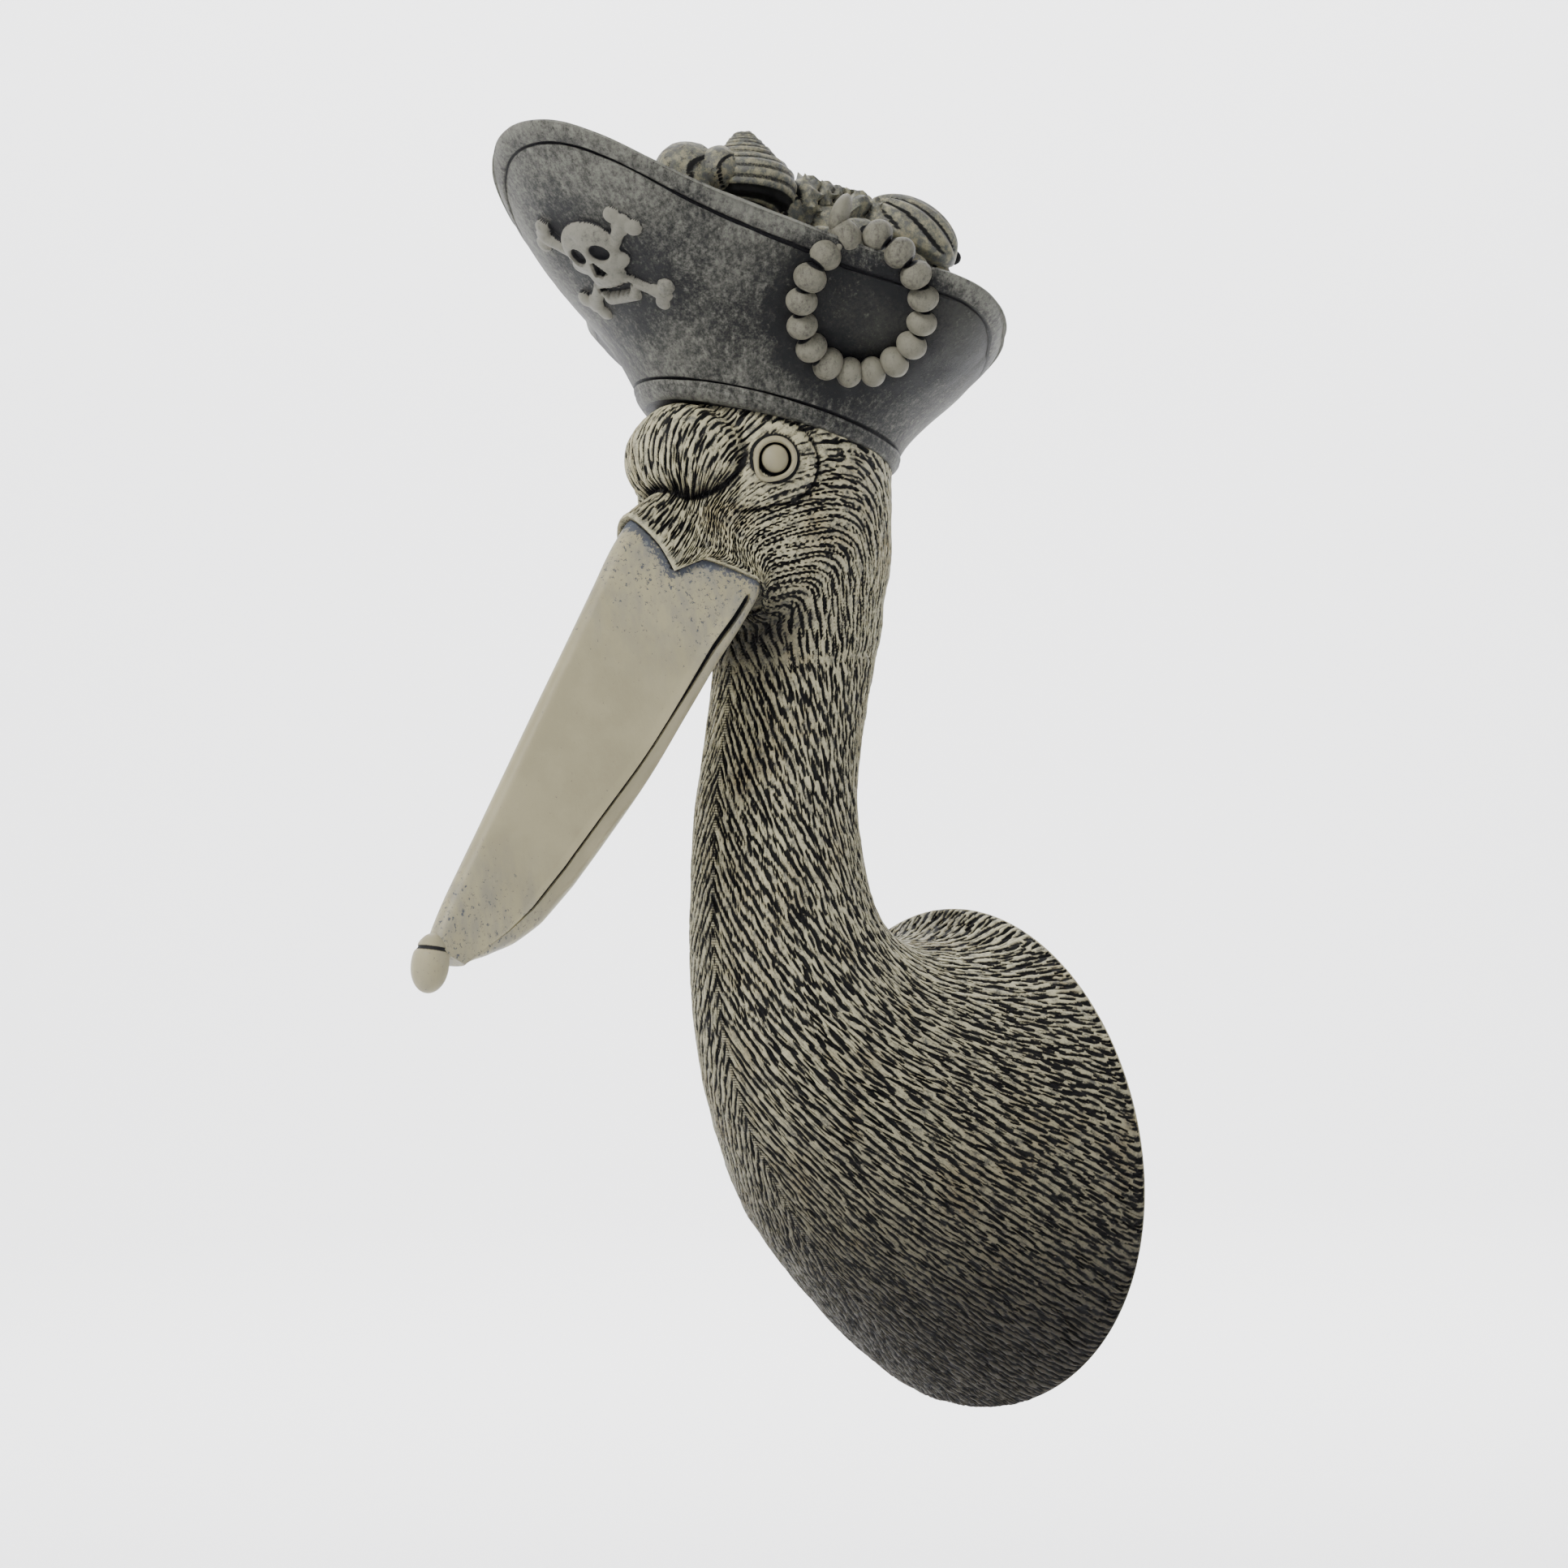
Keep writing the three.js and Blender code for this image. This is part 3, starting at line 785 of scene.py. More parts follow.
# The beak starts on the forehead and points forward and down. Its sections are
# (reach along it, top, mouth, jaw, half width), with depths below its straight top line.
BEAK_START = (-165, 244)
BEAK_TILT = math.radians(56.7)
BEAK_SECTIONS = (
    (-16, 12, 42, 50, 20),
    (-9, 3.2, 43.6, 55.6, 26.4),
    (-3, 0.8, 43.4, 56, 26.6),
    (12, -1.2, 42, 55, 26.5),
    (30, -1.5, 39, 53, 25),
    (55, -2, 37, 51, 22.5),
    (80, -2.6, 34.3, 49, 20.2),
    (105, -3, 30, 45, 17.6),
    (130, -3.4, 26, 40, 14.6),
    (148, -3.8, 22.3, 34.5, 12.2),
    (160, -4, 18, 27.5, 10.3),
    (170, -3.6, 13.3, 18.5, 8.4),
    (178, -2.8, 9.5, 11, 6.6),
)
FACE_SECTIONS = (
    (-40, 22, 46, 58, 27),
    (-28, 12, 45, 59, 29.5),
    (-16, 5, 44, 58, 29.5),
    (-4, -0.5, 43, 57, 28.5),
    (2, -2.2, 43, 56.5, 28),
    (16, -2.6, 42, 55.8, 27.8),
)
# Where the feathers end on the beak: (share of the way round from the jaw to the top, reach).
FEATHER_EDGE = ((0, 2), (0.14, -1), (0.28, -4.5), (0.40, -3), (0.56, 0), (0.70, 10.5), (0.84, 4), (1, -2))


def beak_point(x: Array, reach: Array, depth: Array) -> Array:
    """Places given across, along and below the beak's top line.

    Args:
        x: Places across.
        reach: Places along the top line.
        depth: Places below it.

    Returns:
        x, y and z in the last axis.
    """
    y = BEAK_START[0] - reach * math.cos(BEAK_TILT) + depth * math.sin(BEAK_TILT)
    z = BEAK_START[1] - reach * math.sin(BEAK_TILT) - depth * math.cos(BEAK_TILT)
    return np.stack(np.broadcast_arrays(x, y, z), -1)


def along_beak(points: Array) -> tuple[Array, Array]:
    """Where places lie against the beak's top line.

    Args:
        points: The places.

    Returns:
        The reach along the beak and the depth below its top line.
    """
    y, z = points[..., 1] - BEAK_START[0], points[..., 2] - BEAK_START[1]
    reach = -y * math.cos(BEAK_TILT) - z * math.sin(BEAK_TILT)
    depth = y * math.sin(BEAK_TILT) - z * math.cos(BEAK_TILT)
    return reach, depth


# Edge of the raised lids round an eye: (angle from straight forward, distance from the eye, how firm it is).
LID_EDGE = (
    (-180, 17, 1), (-150, 17.2, 1), (-120, 16.5, 1), (-90, 16, 1), (-65, 19.5, 0.9), (-52, 23, 0.6),
    (-38, 17, 0.15), (-20, 13.5, 0.05), (0, 12.5, 0.05), (30, 12.5, 0.1), (60, 13, 0.3), (90, 14, 0.7),
    (130, 15.5, 1), (180, 17, 1),
)


def eye_plane(grid: Array) -> tuple[Array, Array, Array]:
    """Distances forward, up and out from the middle of the eye on the same side.

    Args:
        grid: The places.

    Returns:
        The three distances.
    """
    away = np.stack([np.abs(grid[..., 0]), grid[..., 1], grid[..., 2]], -1) - EYE_AT
    forward = -away[..., 0] * math.cos(EYE_TURN) - away[..., 1] * math.sin(EYE_TURN)
    out = away[..., 0] * math.sin(EYE_TURN) - away[..., 1] * math.cos(EYE_TURN)
    return forward, away[..., 2], out


def by_first(rows: Sequence[Sequence[float]], value: Array) -> Array:
    """Interpolates rows by their first number.

    Args:
        rows: The rows, in the order of their first numbers.
        value: First numbers to look up, with the ends held.

    Returns:
        The other numbers of each row, in a last axis.
    """
    table = np.asarray(rows, float)
    place = np.interp(value, table[:, 0], np.arange(len(table)))
    return catmull_rom(table[:, 1:], place)


@dataclass
class Bird:
    """The feathered skin in four bands, each closed: head, neck and the breast's two halves.

    Attributes:
        strokes: The feather strokes of the neck and the breast.
        head_strokes: The longer strokes of the head.
        scratches: The finer scratches between them all.
        sides: Corners round the neck.
        breast_sides: Corners round the breast.
        head_sides: Corners round the head.
        head_rows: Rings of the head.
        neck_rows: Rings of the neck.
        breast_rows: Rings of each half of the breast.
        stroke_depth: Depth of a stroke in millimetres.
        scratch_depth: Depth of a scratch.
        throat_smoothing: How many times the hollow under the cheek is smoothed.
        low_fullness: How much fuller the oval is below than above at the wall.
        crown_radius: Rounding along the top of the face.
        neck_sink: How far the top of the neck sinks inside the head.
        head_tuck: How far the head's last rings tuck in towards the neck.
    """

    strokes: FeatherStrokes = field(default_factory=FeatherStrokes)
    head_strokes: FeatherStrokes = FeatherStrokes(
        count=52, step=3.9, half_length=4.7, half_width=0.185, seed=5
    )
    scratches: FeatherStrokes = FeatherStrokes(
        count=110, growth=1.3, crown=0.3, step=2.6, half_length=2.6, half_width=0.2, seed=29
    )
    sides: int = 450
    breast_sides: int = 940
    head_sides: int = 400
    head_rows: int = 230
    neck_rows: int = 93
    breast_rows: int = 98
    stroke_depth: float = 1.15
    scratch_depth: float = 0.3
    throat_smoothing: int = 60
    low_fullness: float = 0.05
    crown_radius: float = 8
    neck_sink: float = 3.0
    head_tuck: float = 1.3

    def body_grid(self, at: Array, sides: int) -> Array:
        """Smooth rings of the breast and the neck.

        Args:
            at: Place of each ring among the sections.
            sides: Corners of a ring.

        Returns:
            Places by ring and side.
        """
        rows = catmull_rom(BODY_SECTIONS, at)[:, None, :]
        angle = TURN * np.arange(sides)[None, :] / sides
        fullness = self.low_fullness * (1 - at / (len(BODY_SECTIONS) - 1))[:, None]
        front = (1 + np.cos(angle)) / 2
        x = rows[..., 4] * np.sin(angle) * (1 + fullness * np.cos(angle))
        y = blend(rows[..., 2], rows[..., 0], front)
        z = blend(rows[..., 3], rows[..., 1], front)
        return np.stack([x, y, z], -1)

    def even_places(self, start: float, end: float, count: int) -> Array:
        """Places among the sections that are evenly spread along the bird's side."""
        dense = np.linspace(start, end, 400)
        return evenly(dense, self.body_grid(dense, 4)[:, 1], count)

    def oval_value(self, points: Array, ovals: Array, top: float) -> Array:
        """How far places are inside a pile of level ovals.

        Args:
            points: The places.
            ovals: The height, middle, half depth and half width of each oval, as four columns.
            top: Height where the pile ends.

        Returns:
            The distance inside, roughly in millimetres.
        """
        y, b, a = (np.interp(points[..., 2], ovals[:, 0], column) for column in ovals[:, 1:].T)
        inside = (1 - np.hypot(points[..., 0] / a, (points[..., 1] - y) / b)) * np.minimum(a, b)
        return np.minimum(inside, top - points[..., 2])

    def face_value(self, points: Array) -> Array:
        """How far places are inside the feathered base of the beak.

        Args:
            points: The places.

        Returns:
            The distance inside, roughly in millimetres.
        """
        reach, depth = along_beak(points)
        top, mouth, jaw, half = np.moveaxis(by_first(FACE_SECTIONS, reach), -1, 0)
        crown = np.minimum(self.crown_radius, 0.7 * half)
        below = depth - top
        start = crown * math.sin(math.radians(60))
        arc = np.sqrt(np.maximum(crown**2 - (crown - np.maximum(below, 0)) ** 2, 0))
        share = np.clip((depth - top - crown / 2) / (mouth - top - crown / 2), 0, 1)
        flare = blend(start, half, share**0.9)
        low = np.clip((depth - mouth) / (jaw - mouth), 0, 1)
        round_jaw = half * np.sqrt(1 - low**2)
        width = np.where(below < crown / 2, arc, np.where(depth < mouth, flare, round_jaw))
        value = width - np.abs(points[..., 0])
        value = np.minimum(value, 2 * below)
        return np.minimum(value, np.minimum(jaw - depth, reach + 40))

    def rest_value(self, points: Array) -> Array:
        """How far places are inside the head with its neck and face, without the tuft.

        Args:
            points: The places.

        Returns:
            The distance inside, roughly in millimetres.
        """
        level = np.linspace(0, len(HEAD_SECTIONS) - 1, 60)
        head = self.oval_value(points, catmull_rom(HEAD_SECTIONS, level), HEAD_TOP)
        head = np.minimum(head, points[..., 2] - HEAD_SECTIONS[0][0])
        front, z, back, _, half = catmull_rom(BODY_SECTIONS, np.linspace(11, 13, 30)).T
        ovals = np.stack([z, (front + back) / 2, (back - front) / 2, half], 1)
        neck = self.oval_value(points, ovals, NECK_END)
        return soft_max(soft_max(head, neck, 5), self.face_value(points), 4)

    def tuft_value(self, points: Array) -> Array:
        """How far places are inside the tuft on the forehead, roughly in millimetres."""
        return (1 - np.linalg.norm((points - FOREHEAD_AT) / FOREHEAD_HALF, axis=-1)) * FOREHEAD_HALF[2]

    def head_value(self, points: Array) -> Array:
        """How far places are inside the whole head, roughly in millimetres."""
        return soft_max(self.rest_value(points), self.tuft_value(points), 1.6)

    def head_grid(self) -> Array:
        """Rings of the head from the beak's base to the neck, found by going out from each slice.

        Returns:
            Places by ring and side.
        """
        dense = np.linspace(len(HEAD_SLICES) - 1, 0, 600)
        rows = evenly(dense, catmull_rom(HEAD_SLICES, dense)[:, 2:], self.head_rows)
        slices = catmull_rom(HEAD_SLICES, rows)
        lower, upper = slices[:, :2], slices[:, 2:]
        middle = (lower + upper) / 2
        down = (lower - upper) / np.linalg.norm(lower - upper, axis=1, keepdims=True)
        angle = TURN * np.arange(self.head_sides) / self.head_sides
        share = 1 - np.abs(1 - angle / math.pi)
        edge = np.interp(share, *np.array(FEATHER_EDGE).T)
        near = ease(len(HEAD_SLICES) - 4.5, len(HEAD_SLICES) - 1, rows)
        start = np.zeros((self.head_rows, self.head_sides, 3))
        start[..., 1:] = middle[:, None, :]
        shift = near[:, None] * edge[None, :]
        start[..., 1] -= shift * math.cos(BEAK_TILT)
        start[..., 2] -= shift * math.sin(BEAK_TILT)
        heading = np.zeros_like(start)
        heading[..., 0] = np.sin(angle)
        heading[..., 1:] = np.cos(angle)[None, :, None] * down[:, None, :]
        half_length = np.linalg.norm(lower - upper, axis=1)[:, None] / 2
        to_throat = (half_length + 0.6) / np.maximum(np.cos(angle), 1e-3)
        reach = np.minimum(self.head_reach(start, heading), to_throat)
        low = ease(0.66, 0.44, share) * ease(0, 6, np.arange(self.head_rows))[:, None]
        for _ in range(self.throat_smoothing):
            sides = (np.roll(reach, 1, axis=1) + np.roll(reach, -1, axis=1)) / 2
            above = np.concatenate([reach[:1], reach[:-1]])
            below = np.concatenate([reach[1:], reach[-1:]])
            reach = blend(reach, 0.3 * sides + 0.35 * (above + below), low)
        return start + heading * reach[..., None]

    def head_reach(self, start: Array, heading: Array) -> Array:
        """Distance from places inside the head to its skin.

        Args:
            start: The places.
            heading: The direction to go in from each.

        Returns:
            The distances.
        """
        nearest, farthest, stride = 4.0, 75.0, 3.0
        inner = np.full(start.shape[:2], nearest)
        outer = np.full(start.shape[:2], farthest)
        left = np.ones(inner.shape, bool)
        for reach in np.arange(nearest + stride, farthest, stride):
            inside = self.head_value(start + heading * reach) > 0
            inner = np.where(left & inside, reach, inner)
            outer = np.where(left & ~inside, reach, outer)
            left = left & inside
        for _ in range(9):
            half = (inner + outer) / 2
            inside = self.head_value(start + heading * half[..., None]) > 0
            inner = np.where(inside, half, inner)
            outer = np.where(inside, outer, half)
        return inner

    def measured(self, grid: Array, end: Array | float) -> tuple[Array, Array]:
        """Length along the flow and girth at each place of a grid.

        Args:
            grid: Places by ring and side, in the order of the flow.
            end: Length along the flow at the last ring.

        Returns:
            The lengths along the flow and the girths.
        """
        steps = np.linalg.norm(np.diff(grid, axis=0), axis=-1)
        along = np.concatenate([np.zeros((1, grid.shape[1])), np.cumsum(steps, axis=0)])
        around = np.linalg.norm(np.roll(grid, -1, axis=1) - np.roll(grid, 1, axis=1), axis=-1) / 2
        return along - along[-1] + end, np.maximum(around * grid.shape[1], 30)

    def carved(
        self, strokes: FeatherStrokes, grid: Array, along: Array, girth: Array, keep: Array | float = 1.0
    ) -> tuple[Array, Array]:
        """Cuts the strokes into a grid.

        Args:
            strokes: The strokes to cut.
            grid: Places by ring and side.
            along: Length along the flow.
            girth: Length of a whole way round.
            keep: Share of the strokes' depth to keep.

        Returns:
            The carved places and the wash that the strokes hold.
        """
        around = np.broadcast_to(np.arange(grid.shape[1]) / grid.shape[1], along.shape)
        cut = strokes.depth(along, around, girth) * keep
        scratch = self.scratches.depth(along, around, girth) * keep
        swell = smooth_noise(grid, 9, 3) * 0.35 + smooth_noise(grid, 3, 4) * 0.12
        sink = cut * self.stroke_depth + scratch * self.scratch_depth - swell * keep
        wash = np.clip(np.maximum(cut, 0.42 * scratch), 0, 1)
        return grid - grid_normals(grid) * sink[..., None], wash

    def zip_mark(self, grid: Array) -> Array:
        """Marks the narrow ticked line down the middle in front."""
        in_front = np.cos(TURN * np.arange(grid.shape[1]) / grid.shape[1]) > 0
        return bell(grid[..., 0], 1.5) * ease(-40, -75, grid[..., 1]) * in_front

    def throat_shade(self, grid: Array) -> Array:
        """Marks the painted shade in the hollow under the beak's base."""
        away = np.hypot(grid[..., 1] - THROAT[0], grid[..., 2] - THROAT[1])
        return 1 - ease(3, 24, away)

    def build(self, material: bpy.types.Material) -> None:
        """Makes the four bands.

        Args:
            material: Its finish.
        """
        head = self.head_grid()
        neck = self.body_grid(self.even_places(NECK_TOP, NECK_FOOT, self.neck_rows), self.sides)
        along, girth = self.measured(neck, 0)
        level = neck[..., 2].mean(axis=1)
        head_foot = float(np.interp(-head[-1, :, 2].mean(), -level, along.mean(axis=1)))
        carved, wash = self.carved(self.strokes, neck, along, girth)
        carved = carved - grid_normals(neck) * (self.neck_sink * ease(194, 202, level))[:, None, None]
        marks = {"wash": wash, "zip": self.zip_mark(neck), "shade": self.throat_shade(neck)}
        self.add_band("neck", carved, marks, material)
        self.build_breast(material)
        self.build_head(head, head_foot, material)

    def build_breast(self, material: bpy.types.Material) -> None:
        """Makes the breast's two halves, with the flat back.

        Args:
            material: Its finish.
        """
        breast = self.body_grid(self.even_places(NECK_FOOT, 0, 2 * self.breast_rows - 1), self.breast_sides)
        along, girth = self.measured(breast, 0)
        keep = np.ones((len(breast), 1))
        keep[-1] = 0
        carved, wash = self.carved(self.strokes, breast, along - along[0], girth, keep)
        zip_line = self.zip_mark(breast)
        upper, lower = slice(None, self.breast_rows), slice(self.breast_rows - 1, None)
        self.add_band("upper_breast", carved[upper], {"wash": wash[upper], "zip": zip_line[upper]}, material)
        back = np.stack([carved[-1] * [share, 1, share] for share in (0.985, 0.6, 0.2)])
        none = np.zeros(back.shape[:2])
        marks = {"wash": np.concatenate([wash[lower], none]), "zip": np.concatenate([zip_line[lower], none])}
        self.add_band("lower_breast", np.concatenate([carved[lower], back]), marks, material)

    def build_head(self, head: Array, foot: float, material: bpy.types.Material) -> None:
        """Makes the head.

        Args:
            head: Its smooth rings, from the beak's base to the neck.
            foot: Length along the flow at its last ring.
            material: Its finish.
        """
        along, girth = self.measured(head, foot)
        keep, sink, dark = self.face_relief(head)
        carved, wash = self.carved(self.head_strokes, head, along, girth, keep)
        tuck = self.head_tuck * ease(self.head_rows - 14, self.head_rows, np.arange(self.head_rows))[:, None]
        carved = carved - grid_normals(head) * (sink + tuck)[..., None]
        inward = carved[0].mean(axis=0)
        lip = np.stack([blend(carved[0], inward, share) for share in (0.16, 0.06)])
        carved = np.concatenate([lip, carved])
        wash = np.concatenate([np.full((2, self.head_sides), 0.3), np.maximum(wash, dark)])
        self.add_band("head", carved, {"wash": wash, "shade": self.throat_shade(carved)}, material)

    def face_relief(self, grid: Array) -> tuple[Array, Array, Array]:
        """The lids round the eyes, the crease round the tuft and the smooth lip at the beak.

        Args:
            grid: Smooth places of the head by ring and side.

        Returns:
            Share of the strokes to keep, depth to sink the skin by and wash to add.
        """
        forward, up, _ = eye_plane(grid)
        radius = np.hypot(forward, up)
        degrees = np.degrees(np.arctan2(up, forward))
        inside = np.interp(degrees, *np.array(LID_EDGE)[:, :2].T) - radius
        firm = np.interp(degrees, *np.array(LID_EDGE)[:, [0, 2]].T)
        lid = ease(-0.3, 3.2, inside)
        border = bell(inside + 0.4, 0.8) * firm
        socket = 1 - ease(5.8, 6.8, radius)
        near_ring = bell(radius - 8.4, 0.7) * 0.9
        sink = -1.9 * lid + 1.0 * border + 2.6 * socket + 0.35 * near_ring
        keep = 1 - 0.45 * lid * ease(8.6, 9.6, radius) - ease(9.6, 8.6, radius)
        dark = np.maximum(np.maximum(0.5 * border, 1.2 * socket), 0.8 * near_ring)

        edge = self.tuft_value(grid) - self.rest_value(grid)
        low = ease(277, 262, grid[..., 2])
        crease = bell(edge + 0.2, 1.1) * ease(-85, -105, grid[..., 1]) * (0.35 + 0.65 * low)
        sink = sink + 0.9 * crease - 1.1 * ease(0, 4, edge)
        dark = np.maximum(dark, 0.55 * crease)

        packed = np.linalg.norm(np.gradient(grid, axis=0), axis=-1)
        keep = keep * ease(0.02, 0.08, packed)
        from_beak = np.arange(len(grid))[:, None] * np.ones(grid.shape[1])
        share = 1 - np.abs(1 - 2 * np.arange(grid.shape[1]) / grid.shape[1])
        lip = bell(from_beak - 2.5, 2.0) * ease(0.1, 0.2, share)
        keep = keep * ease(0.5, 5, from_beak)
        return keep, sink - 0.5 * lip, dark

    def add_band(self, name: str, grid: Array, marks: dict[str, Array], material: bpy.types.Material) -> None:
        """Closes a grid and makes it a piece.

        Args:
            name: The piece's name.
            grid: Places by ring and side.
            marks: Named values by ring and side.
            material: Its finish.
        """
        sides = grid.shape[1]
        lean = np.where(np.arange(sides) < sides / 2, 1, -1)
        add_piece(name, tube(grid, marks, lean), material, Slot.CAST)


# ------------------------------------------------------------------ beak


@dataclass
class Beak:
    """The beak with the groove between its two halves, and the nail at its tip.

    Attributes:
        rows: Rings along the beak.
        side_points: Corners of half a ring from its top to the groove.
        jaw_points: Corners of half a ring below the groove.
        crown_radius: Rounding along its top.
        groove_width: Width of the groove at its widest.
        groove_depth: Depth of the groove at its deepest.
        groove_span: Reach where the groove starts and ends.
        nail_at: Middle of the nail, as y and z.
        nail_radius: Half the nail's width.
        nail_half_length: Half the nail's length.
        nail_tilt: Angle that the nail leans forward.
    """

    rows: int = 165
    side_points: int = 23
    jaw_points: int = 20
    crown_radius: float = 5
    groove_width: float = 2.6
    groove_depth: float = 2.2
    groove_span: tuple[float, float] = (4.5, 172)
    nail_at: tuple[float, float] = (-264.5, 91)
    nail_radius: float = 6.6
    nail_half_length: float = 10.4
    nail_tilt: float = math.radians(12)

    def half_section(
        self, top: float, mouth: float, jaw: float, half: float, groove: tuple[float, float]
    ) -> Array:
        """Half a section from the middle of the round top to the middle of the jaw.

        Args:
            top: Depth of the top.
            mouth: Depth of the line between the two halves.
            jaw: Depth of the underside.
            half: Half width at the mouth.
            groove: Width and depth of the groove.

        Returns:
            Across, depth and wash of each point.
        """
        crown = min(self.crown_radius, half * 0.7)
        angle = np.radians(np.linspace(0, 60, 9))
        crown_part = np.stack([crown * np.sin(angle), top + crown * (1 - np.cos(angle)), 0 * angle], 1)
        start_x, start_depth, _ = crown_part[-1]
        share = np.linspace(0, 1, 25)[1:-1]
        side = np.stack([blend(start_x, half, share**0.9), blend(start_depth, mouth, share), 0 * share], 1)
        width, depth = groove
        across = np.linspace(-1, 1, 13)
        edge = 0.35 * min(1, depth)
        near = mouth + across * width * 0.9
        sink = depth * np.clip(1 - (across / 0.62) ** 2, 0, 1) ** 0.7
        lip = 0.5 * bell(across + 0.8, 0.3) * min(1, depth)
        cut_x = half - sink + lip - np.where(across > 0, edge + across * width * 0.12, 0)
        cut = np.stack([cut_x, near, np.clip(1.25 - (across / 0.62) ** 2, 0, 1) * min(1, depth)], 1)
        side = side[side[:, 1] < near[0] - 0.2]
        angle = np.radians(np.linspace(0, 90, 22))
        jaw_depth = blend(mouth, jaw, np.sin(angle))
        low = np.stack([(half - edge) * np.cos(angle), jaw_depth, 0 * angle], 1)
        low = low[jaw_depth > near[-1] + 0.25]
        side, low = resampled(side, self.side_points), resampled(low, self.jaw_points)
        return np.concatenate([crown_part, side, cut, low])

    def build(self, material: bpy.types.Material) -> None:
        """Makes the beak and the nail.

        Args:
            material: Its finish.
        """
        reach = np.linspace(BEAK_SECTIONS[0][0], BEAK_SECTIONS[-1][0], self.rows)
        start, end = self.groove_span
        strength = ease(start, start + 1.2, reach) * (1 - ease(140, end, reach))
        strength = strength * (1 - 0.45 * ease(start + 12, 70, reach))
        rows = by_first(BEAK_SECTIONS, reach)
        edge_share, edge_reach = np.array(FEATHER_EDGE).T
        grid, wash, specks = [], [], []
        for place, row, share in zip(reach, rows, strength):
            groove = (self.groove_width * max(share, 0.12), self.groove_depth * share)
            near = self.half_section(*row, groove)
            far = near[-2:0:-1] * [-1, 1, 1]
            ring = np.concatenate([near, far])
            grid.append(beak_point(ring[:, 0], np.full(len(ring), place), ring[:, 1]))
            around = np.arctan2(np.abs(ring[:, 0]), ring[:, 1] - (row[0] + row[2]) / 2) / math.pi
            from_edge = np.maximum(place - np.interp(around, edge_share, edge_reach), 0)
            wash.append(np.maximum(ring[:, 2] * min(1, 1.4 * share), 0.85 * bell(from_edge, 1.3)))
            dotted = 0.9 * (1 - ease(2, 70, place)) + 0.8 * float(ease(120, 165, place))
            specks.append(np.maximum(dotted, 2.6 * bell(from_edge, 5.5)))
        beak = tube(np.stack(grid), {"wash": np.stack(wash), "specks": np.stack(specks)})
        add_piece("beak", beak, material, Slot.BEAK)
        add_piece("nail", self.nail(), material, Slot.BEAK)

    def nail(self) -> Shape:
        """An egg-shaped nail that curls over the tip, with a collar groove at its top.

        Returns:
            Its shape.
        """
        angle = np.linspace(0.02, math.pi - 0.02, 40)
        around = TURN * np.arange(48) / 48
        collar = bell(angle - 1.08, 0.09)
        radius = self.nail_radius * np.sin(angle) * (1 - 0.14 * collar) * (1 - 0.06 * np.cos(angle))
        height = self.nail_half_length * np.cos(angle)
        x = radius[:, None] * np.cos(around)
        y = radius[:, None] * np.sin(around)
        z = np.broadcast_to(height[:, None], x.shape)
        turned_y = y * math.cos(self.nail_tilt) + z * math.sin(self.nail_tilt)
        turned_z = z * math.cos(self.nail_tilt) - y * math.sin(self.nail_tilt)
        grid = np.stack([x, turned_y + self.nail_at[0], turned_z + self.nail_at[1]], -1)
        return tube(grid, {"wash": 0.9 * collar[:, None], "specks": 0.3})


# ------------------------------------------------------------------ eyes


